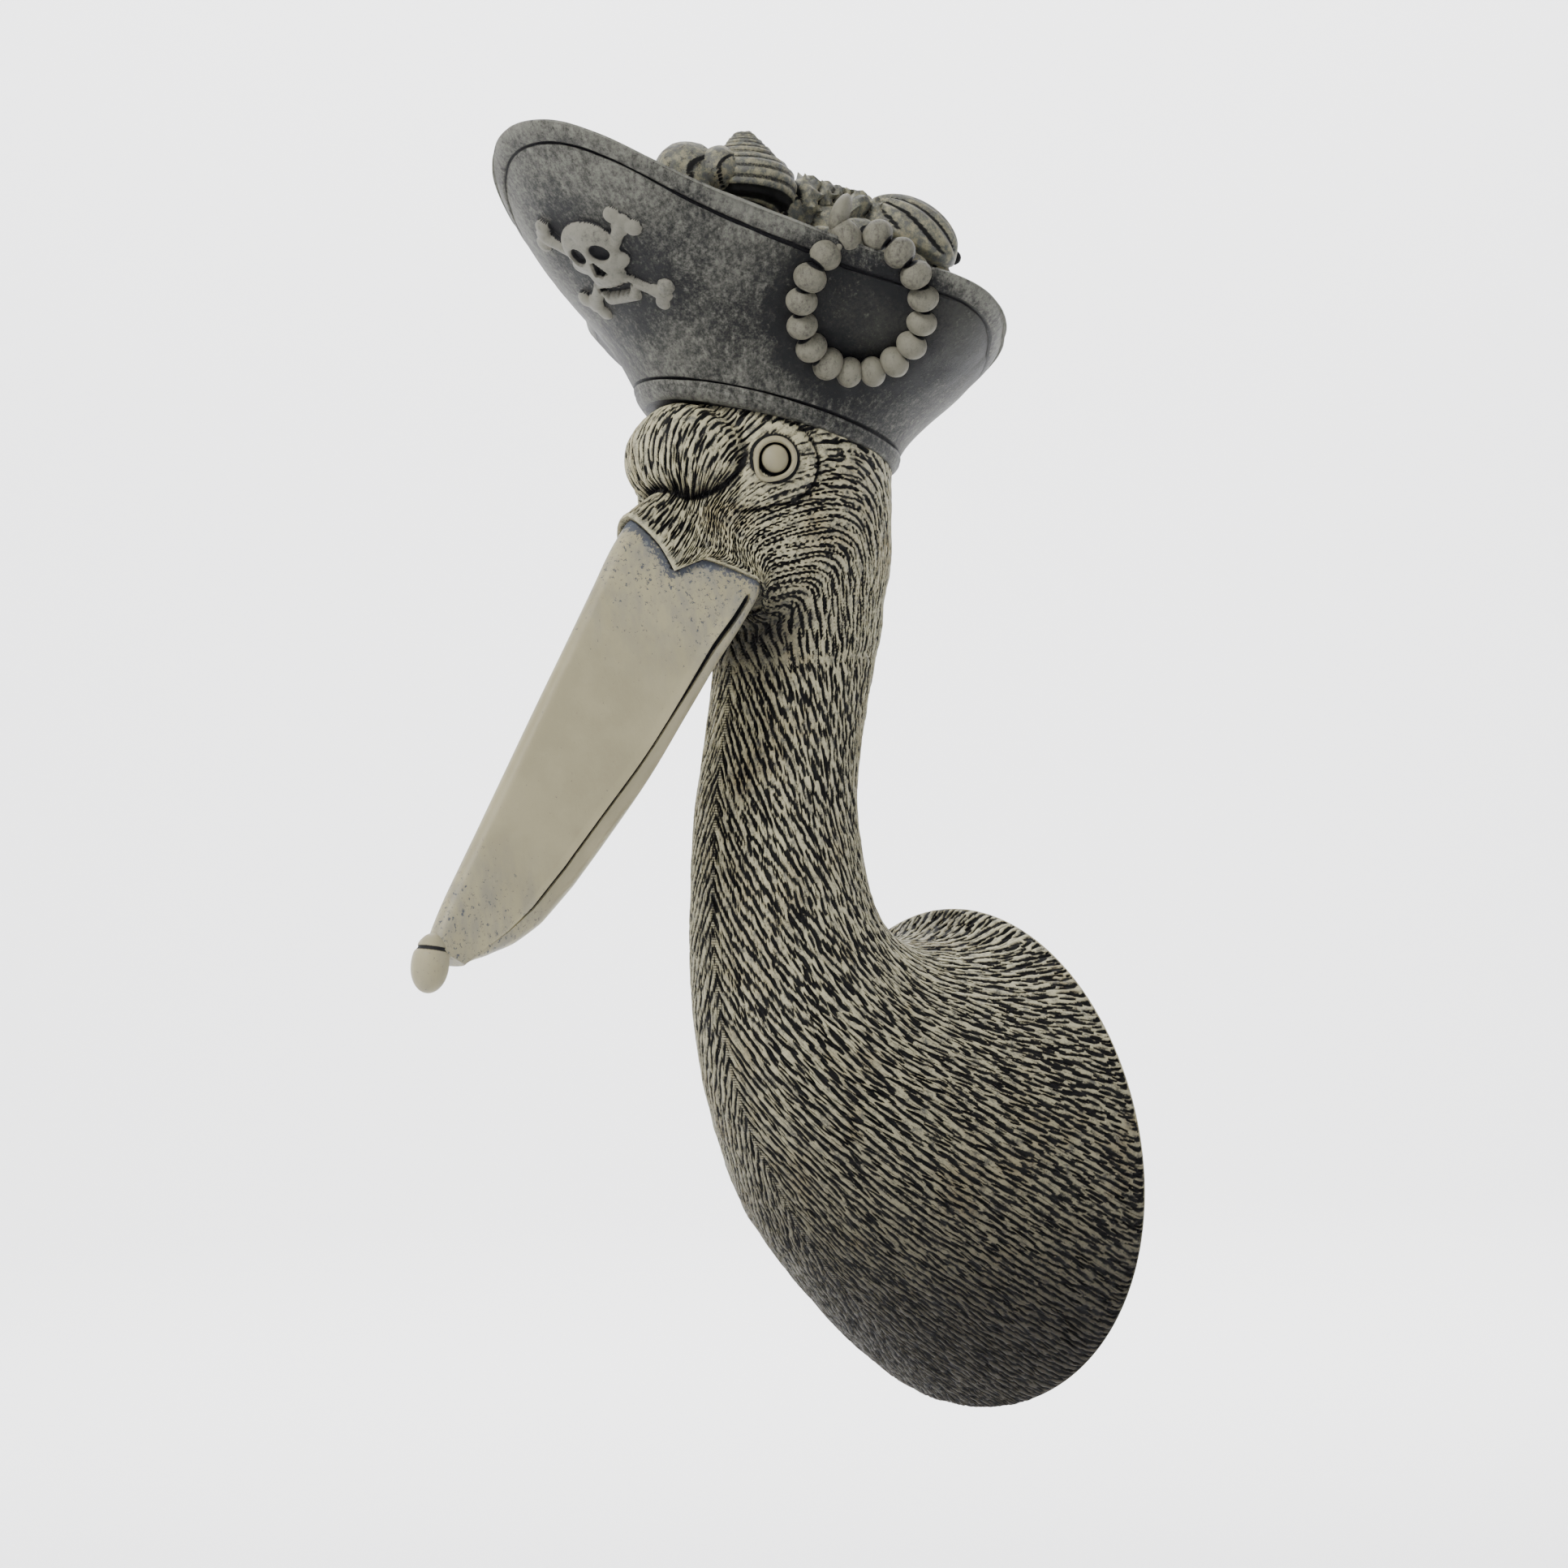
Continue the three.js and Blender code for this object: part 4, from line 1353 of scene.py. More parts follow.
@dataclass
class Eye:
    """A blank eyeball in a teardrop ring.

    Attributes:
        ball_radius: Radius of the eyeball.
        ring_radius: Radius of the ring round it.
        ring_tube: Half the thickness of the ring.
        ring_out: How far the ring lies out from the eye's middle.
    """

    ball_radius: float = 5.1
    ring_radius: float = 7.0
    ring_tube: float = 1.05
    ring_out: float = 0.4

    def frame(self, side: int) -> tuple[Array, Array, Array, Array]:
        """Middle of the eye and its directions outward, forward and up.

        Args:
            side: 1 for the bird's left and -1 for its right.

        Returns:
            The middle and the three directions.
        """
        out = np.array([side * math.sin(EYE_TURN), -math.cos(EYE_TURN), 0])
        forward = np.array([-side * math.cos(EYE_TURN), -math.sin(EYE_TURN), 0])
        return np.array([side * EYE_AT[0], EYE_AT[1], EYE_AT[2]]), out, forward, np.array([0, 0, 1.0])

    def ball(self, side: int) -> Shape:
        """A slightly flattened ball.

        Args:
            side: 1 for the bird's left and -1 for its right.

        Returns:
            Its shape.
        """
        middle, out, forward, up = self.frame(side)
        ball = unit_ball(28, 40) * [self.ball_radius, self.ball_radius * 1.04, self.ball_radius * 0.8]
        grid = middle - out * 1.2 + ball @ np.stack([forward, up, out])
        return tube(grid, {"wash": 0.8 * bell(ball[..., 2], 1.4), "specks": 0.3})

    def ring(self, side: int) -> Shape:
        """A teardrop ring that comes to a point below and in front.

        Args:
            side: 1 for the bird's left and -1 for its right.

        Returns:
            Its shape.
        """
        middle, out, forward, up = self.frame(side)
        rows, sides = 72, 14
        around = (TURN * np.arange(rows) / rows)[:, None]
        tube_angle = (TURN * np.arange(sides) / sides)[None, :]
        point = math.radians(-52)
        stretch = 1 + 0.24 * bell(np.angle(np.exp(1j * (around - point))), 0.5)
        radius = self.ring_radius * stretch
        section = self.ring_tube * (1 + 0.15 * np.sin(around))
        r = radius + section * np.cos(tube_angle)
        h = section * 1.1 * np.sin(tube_angle) + self.ring_out
        a, b = r * np.cos(around), r * np.sin(around)
        points = (middle + np.stack([a, b, h], -1) @ np.stack([forward, up, out])).reshape(-1, 3)
        faces = [tuple(corner % len(points) for corner in face) for face in ring_faces(rows + 1, sides)]
        wash = (bell(h - self.ring_out + section, 0.5) * 0.7).reshape(-1)
        return facing_out(Shape(points, faces, {"wash": wash, "specks": np.full(len(points), 0.3)}))

    def build(self, material: bpy.types.Material) -> None:
        """Makes the eye on each side of the head.

        Args:
            material: Its finish.
        """
        for side, name in ((1, "left"), (-1, "right")):
            add_piece(f"eyeball_{name}", self.ball(side), material, Slot.BEAK)
            add_piece(f"eye_ring_{name}", self.ring(side), material, Slot.BEAK)


# ------------------------------------------------------------------ hat


@dataclass
class Hat:
    """A band round the head that flares up to a three-cornered brim, with a dish inside.

    Attributes:
        sides: Corners of a ring.
        axis_y: Where the hat's upright axis stands.
        slope: How much the brim's line rises for each millimetre towards the front.
        band_low: Half length, half width and height of the band's lower edge.
        band_high: The same of its upper edge.
        band_slope: How much the band rises for each millimetre towards the front.
        band_roll: How much it drops for each millimetre to the bird's left.
        curl: How far the outer side bows between the band and the brim.
        brim_reach: Reach of the brim from the axis, by angle from the front in degrees.
        brim_back: Place along the hat and height where the brim's straight line starts.
        brim_peak: Place where the brim starts to rise further in front, over what length and by how much.
        brim_thick: Thickness of the brim.
        dish_depth: How far the dish lies below the brim's line.
        dish_share: Size of the dish's flat part, as a share of the brim.
        brim_groove: How far below the edge the groove on the outer side runs.
    """

    sides: int = 384
    axis_y: float = -93
    slope: float = 0.4
    band_low: Size = (49.2, 42.8, 276)
    band_high: Size = (52.2, 45.4, 282.3)
    band_slope: float = 0.275
    band_roll: float = 0.085
    curl: float = 0.045
    brim_reach: tuple[tuple[float, float], ...] = (
        (0, 115.5), (14, 110.5), (33, 93), (48, 83), (68, 80), (82, 87), (92, 98), (99, 100.3),
        (108, 97.7), (119, 91.5), (134, 85.6), (150, 81), (180, 77),
    )
    brim_back: tuple[float, float] = (-26, 301)
    brim_peak: Size = (-163, 45.5, 11)
    brim_thick: float = 7
    dish_depth: float = 24
    dish_share: float = 0.62
    brim_groove: float = 10.5

    def reach(self, angle: Array) -> Array:
        """The brim's reach from the axis.

        Args:
            angle: Angles from the front.

        Returns:
            The reach at each.
        """
        degrees = np.degrees(np.abs(np.angle(np.exp(1j * angle))))
        table = np.array(self.brim_reach)
        mirrored = np.concatenate([[-table[1]], table, [[2 * 180 - table[-2, 0], table[-2, 1]]]])
        mirrored[0, 1] = table[1, 1]
        place = np.interp(degrees, mirrored[:, 0], np.arange(len(mirrored)))
        return catmull_rom(mirrored[:, 1:], place)[..., 0]

    def height(self, y: Array) -> Array:
        """Height of the brim's line.

        Args:
            y: Places along the hat.

        Returns:
            The height at each.
        """
        start, length, rise = self.brim_peak
        past = np.maximum(0, start - y) / length
        return self.brim_back[1] + self.slope * (self.brim_back[0] - y) + rise * past**2

    def brim(self, angle: Array, inset: float, lift: float) -> Array:
        """Places on the brim's edge.

        Args:
            angle: Angles from the front.
            inset: How far inside the edge.
            lift: How far above the brim's line.

        Returns:
            A place at each angle.
        """
        reach = self.reach(angle) - inset
        y = self.axis_y - reach * np.cos(angle)
        return np.stack([reach * np.sin(angle), y, self.height(y) + lift], -1)

    def band(self, angle: Array, size: Size, share: float = 1.0, out: float = 0.0) -> Array:
        """Places on the band.

        Args:
            angle: Angles from the front.
            size: Half length, half width and height.
            share: Scale of the band.
            out: How far outside it.

        Returns:
            A place at each angle.
        """
        front, side, z = size
        reach = share / np.hypot(np.cos(angle) / front, np.sin(angle) / side) + out
        x, y = reach * np.sin(angle), self.axis_y - reach * np.cos(angle)
        return np.stack([x, y, z + self.band_slope * (self.axis_y - y) - self.band_roll * x], -1)

    def side(self, angle: Array, share: Array, sink: Array | float = 0.0) -> Array:
        """Places on the outer side.

        Args:
            angle: Angles from the front.
            share: 0 at the top of the band and 1 at the edge of the brim.
            sink: How far below the surface.

        Returns:
            A place at each angle.
        """
        low, high = self.band(angle, self.band_high), self.brim(angle, 0, 0)
        share = np.broadcast_to(share, angle.shape)
        curled = share - self.curl * np.sin(TURN * share)
        place = np.stack([
            blend(low[..., 0], high[..., 0], curled),
            blend(low[..., 1], high[..., 1], curled),
            blend(low[..., 2], high[..., 2], share),
        ], -1)
        heading = np.stack([np.sin(angle), -np.cos(angle), 0 * angle], -1)
        return place - heading * np.broadcast_to(sink, angle.shape)[..., None]

    def dish(self, angle: Array, share: float, lift: float) -> Array:
        """Places on the dish inside the brim.

        Args:
            angle: Angles from the front.
            share: How far out, as a share of the dish's reach.
            lift: How far above its bottom.

        Returns:
            A place at each angle.
        """
        reach = (self.reach(angle) - self.brim_thick) * share
        y = self.axis_y - reach * np.cos(angle)
        return np.stack([reach * np.sin(angle), y, self.height(y) - self.dish_depth + lift], -1)

    def rings(self, angle: Array) -> Iterator[tuple[Array, float, float]]:
        """The hat's rings, from inside the band up its outer side, over the brim and into the dish.

        Args:
            angle: Angles from the front.

        Yields:
            The places of a ring, its wash and its wear.
        """
        length = np.linalg.norm(self.brim(angle, 0, 0) - self.band(angle, self.band_high), axis=-1)
        for share, out, dark in ((0.8, 0.0, 0.8), (0.955, 0.0, 0.8), (0.985, -0.2, 0.3)):
            yield self.band(angle, self.band_low, share, out), dark, 0
        low, high = np.array(self.band_low), np.array(self.band_high)
        for share in np.linspace(0, 1, 15):
            turned_in = float(share > 0.97)
            bulge = 1.1 * math.sin(math.pi * share) ** 0.6 - 0.4 * bell(share - 0.62, 0.07) - 1.1 * turned_in
            dark = 0.45 * bell(share - 0.62, 0.06) + 0.9 * turned_in
            edge = 0.5 * bell(share - 0.12, 0.08) + 0.5 * bell(share - 0.8, 0.15)
            yield self.band(angle, tuple(blend(low, high, share)), 1.0, bulge), dark, edge
        for lift, sink, dark in ((0.45, 1.0, 1.0), (0.9, 0.3, 0.5), (1.5, 0, 0)):
            yield self.side(angle, lift / length, sink), dark, 0.15
        groove = 1 - self.brim_groove / length
        for share in np.linspace(0.03, 1, 44):
            yield self.side(angle, share * (groove - 1.4 / length)), 0, 0
        for off in np.linspace(-1.1, 1.1, 11):
            cut = math.sqrt(max(0, 1 - (off / 0.85) ** 2))
            yield self.side(angle, groove + off / length, 1.15 * cut), cut, 0.4 * float(off > 0.9)
        for share in np.linspace(0.14, 0.93, 12):
            swell = -0.7 * math.sin(math.pi * share)
            yield self.side(angle, blend(groove, 1.0, share), swell), 0, 0.35 + 0.5 * share
        for turn in np.radians(np.linspace(15, 165, 11)):
            inset = self.brim_thick / 2 * (1 - math.cos(turn))
            yield self.brim(angle, inset, 1.9 * math.sin(turn) - 1.9), 0, 1
        for share in np.linspace(0, 1, 9)[1:]:
            inner = blend(self.brim(angle, self.brim_thick, -3), self.dish(angle, 0.8, 8), share)
            yield inner, 0.25 * share, 0.2
        yield self.dish(angle, self.dish_share, 0), 0.6, 0

    def build(self, material: bpy.types.Material, near: Sequence[tuple[Array, float]]) -> None:
        """Makes the hat.

        Args:
            material: Its finish.
            near: Places round which the hat gets painted shade, each with its reach.
        """
        rows, dark, edge = zip(*self.rings(TURN * np.arange(self.sides) / self.sides))
        grid = np.stack(rows)
        dents = smooth_noise(grid, 26, 8) * 0.5 + smooth_noise(grid, 7, 9) * 0.16
        grid = grid + grid_normals(grid) * dents[..., None]
        # Painted shade on the hat round the emblem and round each bead.
        shade = np.zeros(grid.shape[:2])
        for place, reach in near:
            distance = np.linalg.norm(grid - place, axis=-1)
            shade = np.maximum(shade, 1 - ease(0.3 * reach, reach, distance))
        low_down = ease(0.45, 0.0, (grid[..., 2] - 280) / 60)
        # Worn rises low on the band, where cream is dry-brushed, and towards the front, which is partly
        # dry-brushed wear and partly painted light on the lit front.
        rubbed = 0.35 * low_down + 0.5 * ease(-95, -165, grid[..., 1])
        worn = np.maximum(np.array(edge, float)[:, None], rubbed)
        marks = {"wash": np.array(dark, float)[:, None], "worn": worn, "shade": shade}
        add_piece("hat", tube(grid, marks), material, Slot.HAT)


# ------------------------------------------------------------------ emblem


def pad(a: Array, b: Array, at: tuple[float, float], half: tuple[float, float], high: float) -> Array:
    """A rounded pad in relief.

    Args:
        a: Places across.
        b: Places up.
        at: Its middle.
        half: Half its width and half its height on the plane.
        high: How high it stands.

    Returns:
        Its height at each place, below 0 outside it.
    """
    inside = 1 - ((a - at[0]) / half[0]) ** 2 - ((b - at[1]) / half[1]) ** 2
    return np.where(inside > 0, high * np.maximum(inside, 0) ** 0.38, inside * 2)


def bar(
    a: Array, b: Array, start: tuple[float, float], end: tuple[float, float], half: float, high: float
) -> Array:
    """A rounded bar in relief.

    Args:
        a: Places across.
        b: Places up.
        start: Where it starts.
        end: Where it ends.
        half: Half its width.
        high: How high it stands.

    Returns:
        Its height at each place, below 0 outside it.
    """
    run, rise = end[0] - start[0], end[1] - start[1]
    across, up = a - start[0], b - start[1]
    along = np.clip((across * run + up * rise) / (run**2 + rise**2), 0, 1)
    off = np.hypot(across - along * run, up - along * rise) / half
    return np.where(off < 1, high * np.sqrt(np.maximum(1 - off * off, 0)), (1 - off) * 3)


@dataclass
class Emblem:
    """A skull over crossed bones in low relief on the hat's front.

    Attributes:
        hat: The hat it lies on.
        at: Its middle.
        lean: How far its plane leans forward.
        half_size: Half its width and half its height.
        spacing: Distance between the points of the relief.
        floor: Height of the ground between skull and bones, below the hat's surface.
        rim: Height of the relief's border.
        under: Height of its lower side.
        shade: Reach of the painted shade round it on the hat.
    """

    hat: Hat
    at: Size = (0, -172, 335.5)
    lean: float = math.radians(40.5)
    half_size: tuple[float, float] = (30, 25)
    spacing: float = 0.47
    floor: float = -1.1
    rim: float = -1.3
    under: float = -1.9
    shade: float = 42

    def bedding(self, across: Array, up: Array) -> Array:
        """How far the hat's surface is in front of the emblem's plane.

        Args:
            across: Places across the plane.
            up: Places up it.

        Returns:
            The distance at each place.
        """
        angle, share = np.meshgrid(np.linspace(-0.4, 0.4, 41), np.linspace(0.4, 1, 31))
        surface = self.hat.side(angle, share) - self.at
        sin, cos = math.sin(self.lean), math.cos(self.lean)
        a = surface[..., 0].ravel()
        b = (-surface[..., 1] * sin + surface[..., 2] * cos).ravel()
        out = (-surface[..., 1] * cos - surface[..., 2] * sin).ravel()
        near = (np.abs(a) < 34) & (np.abs(b) < 30)
        fit = np.linalg.lstsq(self.terms(a[near], b[near]), out[near], rcond=None)[0]
        return self.terms(across, up) @ fit

    def terms(self, p: Array, q: Array) -> Array:
        """The terms of the smooth surface that is fitted to the hat's side."""
        return np.stack([p**0, q, p * p, q * q, p * p * q, p**4], -1)

    def bones(self, a: Array, b: Array) -> Array:
        """Height of the crossed bones.

        Args:
            a: Places across.
            b: Places up.

        Returns:
            The height at each place, below 0 outside it.
        """
        height = np.full_like(a, -3.0)
        for side in (-1, 1):
            for x, y in ((21 * side, 16.5), (-18.5 * side, -16)):
                away = math.hypot(x, y)
                for across in (-4.3, 4.3):
                    knob = (x - across * y / away, y + across * x / away)
                    height = soft_max(height, pad(a, b, knob, (3.5, 3.5), 2.7), 1.0)
                height = soft_max(height, bar(a, b, (0.86 * x, 0.86 * y), (x, y), 3.6, 2.4), 1.0)
            height = soft_max(height, bar(a, b, (20 * side, 15.7), (-17.5 * side, -15.1), 2.6, 2.5), 1.0)
        return height

    def skull(self, a: Array, b: Array) -> Array:
        """Height of the skull, before it is carved.

        Args:
            a: Places across.
            b: Places up.

        Returns:
            The height at each place, below 0 outside it.
        """
        skull = soft_max(pad(a, b, (0, 9.5), (13.2, 11), 5.0), pad(a, b, (0, 2.6), (14.8, 5.6), 3.8), 2.2)
        skull = soft_max(skull, pad(a, b, (0, -2.5), (8.8, 7), 4.4), 1.6)
        jaw = bar(a, b, (-6.4, -13.2), (6.4, -13.2), 2.9, 3.4)
        for side in (-1, 1):
            jaw = soft_max(jaw, bar(a, b, (9 * side, -7), (7.4 * side, -12.4), 2.0, 2.6), 0.8)
        return soft_max(skull, jaw, 0.5)

    def carving(self, a: Array, b: Array) -> Array:
        """How deep eyes, nose and teeth are, from 0 to 1.

        Args:
            a: Places across.
            b: Places up.

        Returns:
            The depth at each place.
        """
        parts = []
        for side in (-1, 1):
            socket = np.hypot((a - 5.4 * side) / 4.2, (b - 8.6 + 0.12 * side * a) / 3.7)
            parts.append(1 - ease(0.72, 1.12, socket))
        nose_half = 0.7 + 0.42 * (4.6 - b)
        nose = (1 - ease(-0.4, 0.5, np.abs(a) - nose_half)) * ease(5.0, 4.2, b)
        parts.append(nose * ease(-1.6, -0.8, b + 0.9 * bell(a, 1.0)))
        tooth = ((a + 1.3) % 2.6) - 1.3
        parts.append(bell(b + 8.0 + 0.7 * np.abs(tooth) - 0.06 * a, 0.75) * ease(9.6, 8.4, np.abs(a)))
        gaps = bell(tooth, 0.28) * ease(-12.2, -11, b) * ease(-6.2, -7.2, b) * ease(7, 6, np.abs(a))
        dent = 0.35 * bell(np.hypot((a + 4) / 2.2, b - 15.2), 1.3)
        return np.maximum.reduce([*parts, 0.6 * gaps, dent])

    def relief(self, a: Array, b: Array) -> tuple[Array, Array]:
        """Height of the relief and its wash.

        Args:
            a: Places across.
            b: Places up.

        Returns:
            The height and the wash at each place.
        """
        height = soft_max(self.bones(a, b), self.skull(a, b), 0.5)
        carved = self.carving(a, b)
        edge = bell(height - 0.2, 0.8)
        return height - 2.6 * carved, np.clip(np.maximum(carved * 1.1, edge), 0, 1)

    def build(self, material: bpy.types.Material) -> None:
        """Makes the relief as a pad whose lower side is buried in the hat.

        Args:
            material: Its finish.
        """
        wide, tall = self.half_size
        columns = int(2 * wide / self.spacing)
        rows = int(2 * tall / self.spacing)
        a, b = np.meshgrid(np.linspace(-wide, wide, columns), np.linspace(-tall, tall, rows))
        height, wash = self.relief(a, b)
        border = np.ones_like(a)
        border[1:-1, 1:-1] = 0
        height = np.where(border > 0, self.rim, np.maximum(height, self.floor))
        bed = self.bedding(a, b)
        faces = []
        top = np.arange(rows * columns).reshape(rows, columns)
        under = top + rows * columns
        for layer in (top, under):
            quads = np.stack([layer[:-1, :-1], layer[:-1, 1:], layer[1:, 1:], layer[1:, :-1]], -1)
            quads = quads if layer is top else quads[..., ::-1]
            faces += list(map(tuple, quads.reshape(-1, 4).tolist()))
        loop = list(top[0]) + list(top[1:, -1]) + list(top[-1, -2::-1]) + list(top[-2:0:-1, 0])
        shift = rows * columns
        for corner, following in zip(map(int, loop), map(int, loop[1:] + loop[:1])):
            faces.append((following, corner, corner + shift, following + shift))
        sin, cos = math.sin(self.lean), math.cos(self.lean)

        def placed(out: Array) -> Array:
            """Puts heights over the plane into space."""
            y, z = self.at[1] - b * sin - out * cos, self.at[2] + b * cos - out * sin
            return np.stack([a, y, z], -1).reshape(-1, 3)

        points = np.concatenate([placed(bed + height), placed(bed + self.under)])
        marks = {"wash": np.concatenate([wash.ravel(), np.zeros(shift)]), "worn": np.ones(2 * shift)}
        add_piece("skull_and_bones", facing_out(Shape(points, faces, marks)), material, Slot.HAT)


# ------------------------------------------------------------------ beads


@dataclass
class BeadLoop:
    """A loop of beads that hangs over the brim on the bird's left.

    Attributes:
        at: Middle of the loop.
        half_width: Half the loop's width between bead middles.
        half_height: Half its height.
        turn: How far the loop is turned round the upright axis.
        lean: How far it leans with the hat's side.
        count: How many beads it has.
        step: Angle from one bead to the next.
        radius: A bead's radius across the string.
        thick: Half its length along the string.
        clasp_radius: Radius of the largest bead.
        over_brim: Cosine of the angle from which beads lie back over the brim, and how far the top one does.
        link_half: Half sizes of the pin by the largest bead, across, out and along.
        behind: Half sizes of the bead behind it, and where it lies: up, out and along.
        shade: Reach of the painted shade round each bead on the hat.
    """

    at: Size = (69.5, -112.5, 316)
    half_width: float = 22
    half_height: float = 25.5
    turn: float = math.radians(48.7)
    lean: float = math.radians(34)
    count: int = 16
    step: float = math.radians(22)
    radius: float = 5.9
    thick: float = 5.1
    clasp_radius: float = 6.5
    over_brim: tuple[float, float] = (0.7, 10)
    link_half: Size = (1.6, 1.5, 3.4)
    behind: tuple[Size, Size] = ((6.2, 6.2, 5.6), (7.5, -6.0, 2.0))
    shade: float = 17

    def axes(self) -> Array:
        """Directions across, up and out of the loop's plane, as rows."""
        upright = np.array([[1, 0, 0], [0, 0, 1], [0, -1, 0]])
        return upright @ turning((-self.lean, 0, 0)) @ turning((0, 0, -self.turn))

    def middles(self) -> Array:
        """The middle of each bead.

        Returns:
            A place for each bead.
        """
        across, up, out = self.axes()
        angle = math.pi + self.step * (np.arange(self.count) - (self.count - 1) / 2)
        from_cosine, back = self.over_brim
        pulled = np.maximum(0, np.cos(angle) - from_cosine) / (1 - from_cosine) * back
        width, height = self.half_width * np.sin(angle), self.half_height * np.cos(angle)
        return np.array(self.at) + np.stack([width, height, -pulled], 1) @ np.stack([across, up, out])

    def tree(self, material: bpy.types.Material) -> bpy.types.NodeTree:
        """Geometry nodes that put a bead on every point of a string.

        Args:
            material: Its finish.

        Returns:
            The tree.
        """
        tree = bpy.data.node_groups.new("beads on a string", "GeometryNodeTree")
        for name, kind in (("String", "Geometry"), ("Bead radius", "Float"), ("Bead thickness", "Float")):
            tree.interface.new_socket(name, in_out="INPUT", socket_type=f"NodeSocket{kind}")
        tree.interface.new_socket("Beads", in_out="OUTPUT", socket_type="NodeSocketGeometry")
        node = partial(new_node, tree)
        given = node("NodeGroupInput").outputs
        curve = node("GeometryNodeMeshToCurve", {0: given["String"]}).outputs[0]
        tangent = node("GeometryNodeInputTangent").outputs[0]
        align = node("FunctionNodeAlignRotationToVector", {"Vector": tangent}).outputs[0]
        ball = node("GeometryNodeMeshUVSphere", {"Segments": 28, "Rings": 18, "Radius": given["Bead radius"]})
        shape = node("ShaderNodeCombineXYZ", {0: 1, 1: 1, 2: given["Bead thickness"]}).outputs[0]
        squash = node("GeometryNodeTransform", {"Geometry": ball.outputs["Mesh"], "Scale": shape}).outputs[0]
        size = node("GeometryNodeInputNamedAttribute", {"Name": "bead_size"}, data_type="FLOAT")
        places = {"Points": curve, "Instance": squash, "Rotation": align, "Scale": size.outputs["Attribute"]}
        spread = node("GeometryNodeInstanceOnPoints", places)
        real = node("GeometryNodeRealizeInstances", {0: spread.outputs[0]})
        dress = node("GeometryNodeSetMaterial", {0: real.outputs[0], "Material": material})
        node("NodeGroupOutput", {0: dress.outputs[0]})
        return tree

    def build(self, material: bpy.types.Material) -> None:
        """Makes the beads as one piece.

        Args:
            material: Its finish.
        """
        string = bpy.data.meshes.new("bead_string")
        middles = self.middles()
        string.from_pydata((middles * MM).tolist(), [(k, k + 1) for k in range(self.count - 1)], [])
        sizes = np.random.default_rng(5).uniform(0.94, 1.04, self.count)
        sizes[-1] = self.clasp_radius / self.radius
        set_mark(string, "bead_size", sizes)
        values = {"Bead radius": self.radius * MM, "Bead thickness": self.thick / self.radius}
        piece = grown_piece("bead_loop", string, self.tree(material), values)
        points = np.array([vertex.co for vertex in piece.data.vertices]) / MM
        owner = np.linalg.norm(points[:, None] - middles[None], axis=-1).argmin(1)
        tangent = np.gradient(middles, axis=0)
        tangent /= np.linalg.norm(tangent, axis=1, keepdims=True)
        lengthwise = np.abs(np.einsum("ij,ij->i", points - middles[owner], tangent[owner])) / self.thick
        set_mark(piece.data, "wash", ease(0.72, 1.0, lengthwise))
        set_mark(piece.data, "worn", np.full(len(points), 0.9))
        give_piece(piece, material, Slot.HAT)
        add_piece("bead_link", self.link(middles), material, Slot.HAT)

    def link(self, middles: Array) -> Shape:
        """The short pin that joins the largest bead to the next, and the bead behind them.

        Args:
            middles: The middle of each bead.

        Returns:
            Both as one shape.
        """
        start, end = middles[-1], middles[-2]
        _, up, out = self.axes()
        heading = unit(end - start)
        ball = unit_ball(16, 20)
        half, place = self.behind
        pin = (ball * self.link_half) @ np.stack([np.cross(heading, out), out, heading])
        pin = (start + end) / 2 + out * 3.6 + pin
        bead = start + place @ np.stack([up, out, heading]) + (ball * half) @ np.stack([heading, out, up])
        marks = {"wash": 0.2, "worn": 0.9}
        return tube(pin, marks).joined(tube(bead, marks))


def grown_piece(
    name: str, seed_mesh: bpy.types.Mesh, tree: bpy.types.NodeTree, values: dict[str, float]
) -> bpy.types.Object:
    """Runs geometry nodes on a mesh and returns their result as a plain object.

    Args:
        name: The piece's name.
        seed_mesh: The mesh that the nodes start from.
        tree: The nodes.
        values: Values of the tree's inputs, by name.

    Returns:
        The object with its plain mesh, linked to the scene.
    """
    seed = bpy.data.objects.new(f"{name}_seed", seed_mesh)
    bpy.context.scene.collection.objects.link(seed)
    modifier = seed.modifiers.new("grow", "NODES")
    modifier.node_group = tree
    for item in tree.interface.items_tree:
        if item.item_type == "SOCKET" and item.in_out == "INPUT" and item.name in values:
            modifier[item.identifier] = values[item.name]
    result = bpy.data.meshes.new_from_object(seed.evaluated_get(bpy.context.evaluated_depsgraph_get()))
    result.name = name
    bpy.data.objects.remove(seed)
    piece = bpy.data.objects.new(name, result)
    bpy.context.scene.collection.objects.link(piece)
    return piece


# ------------------------------------------------------------------ shells


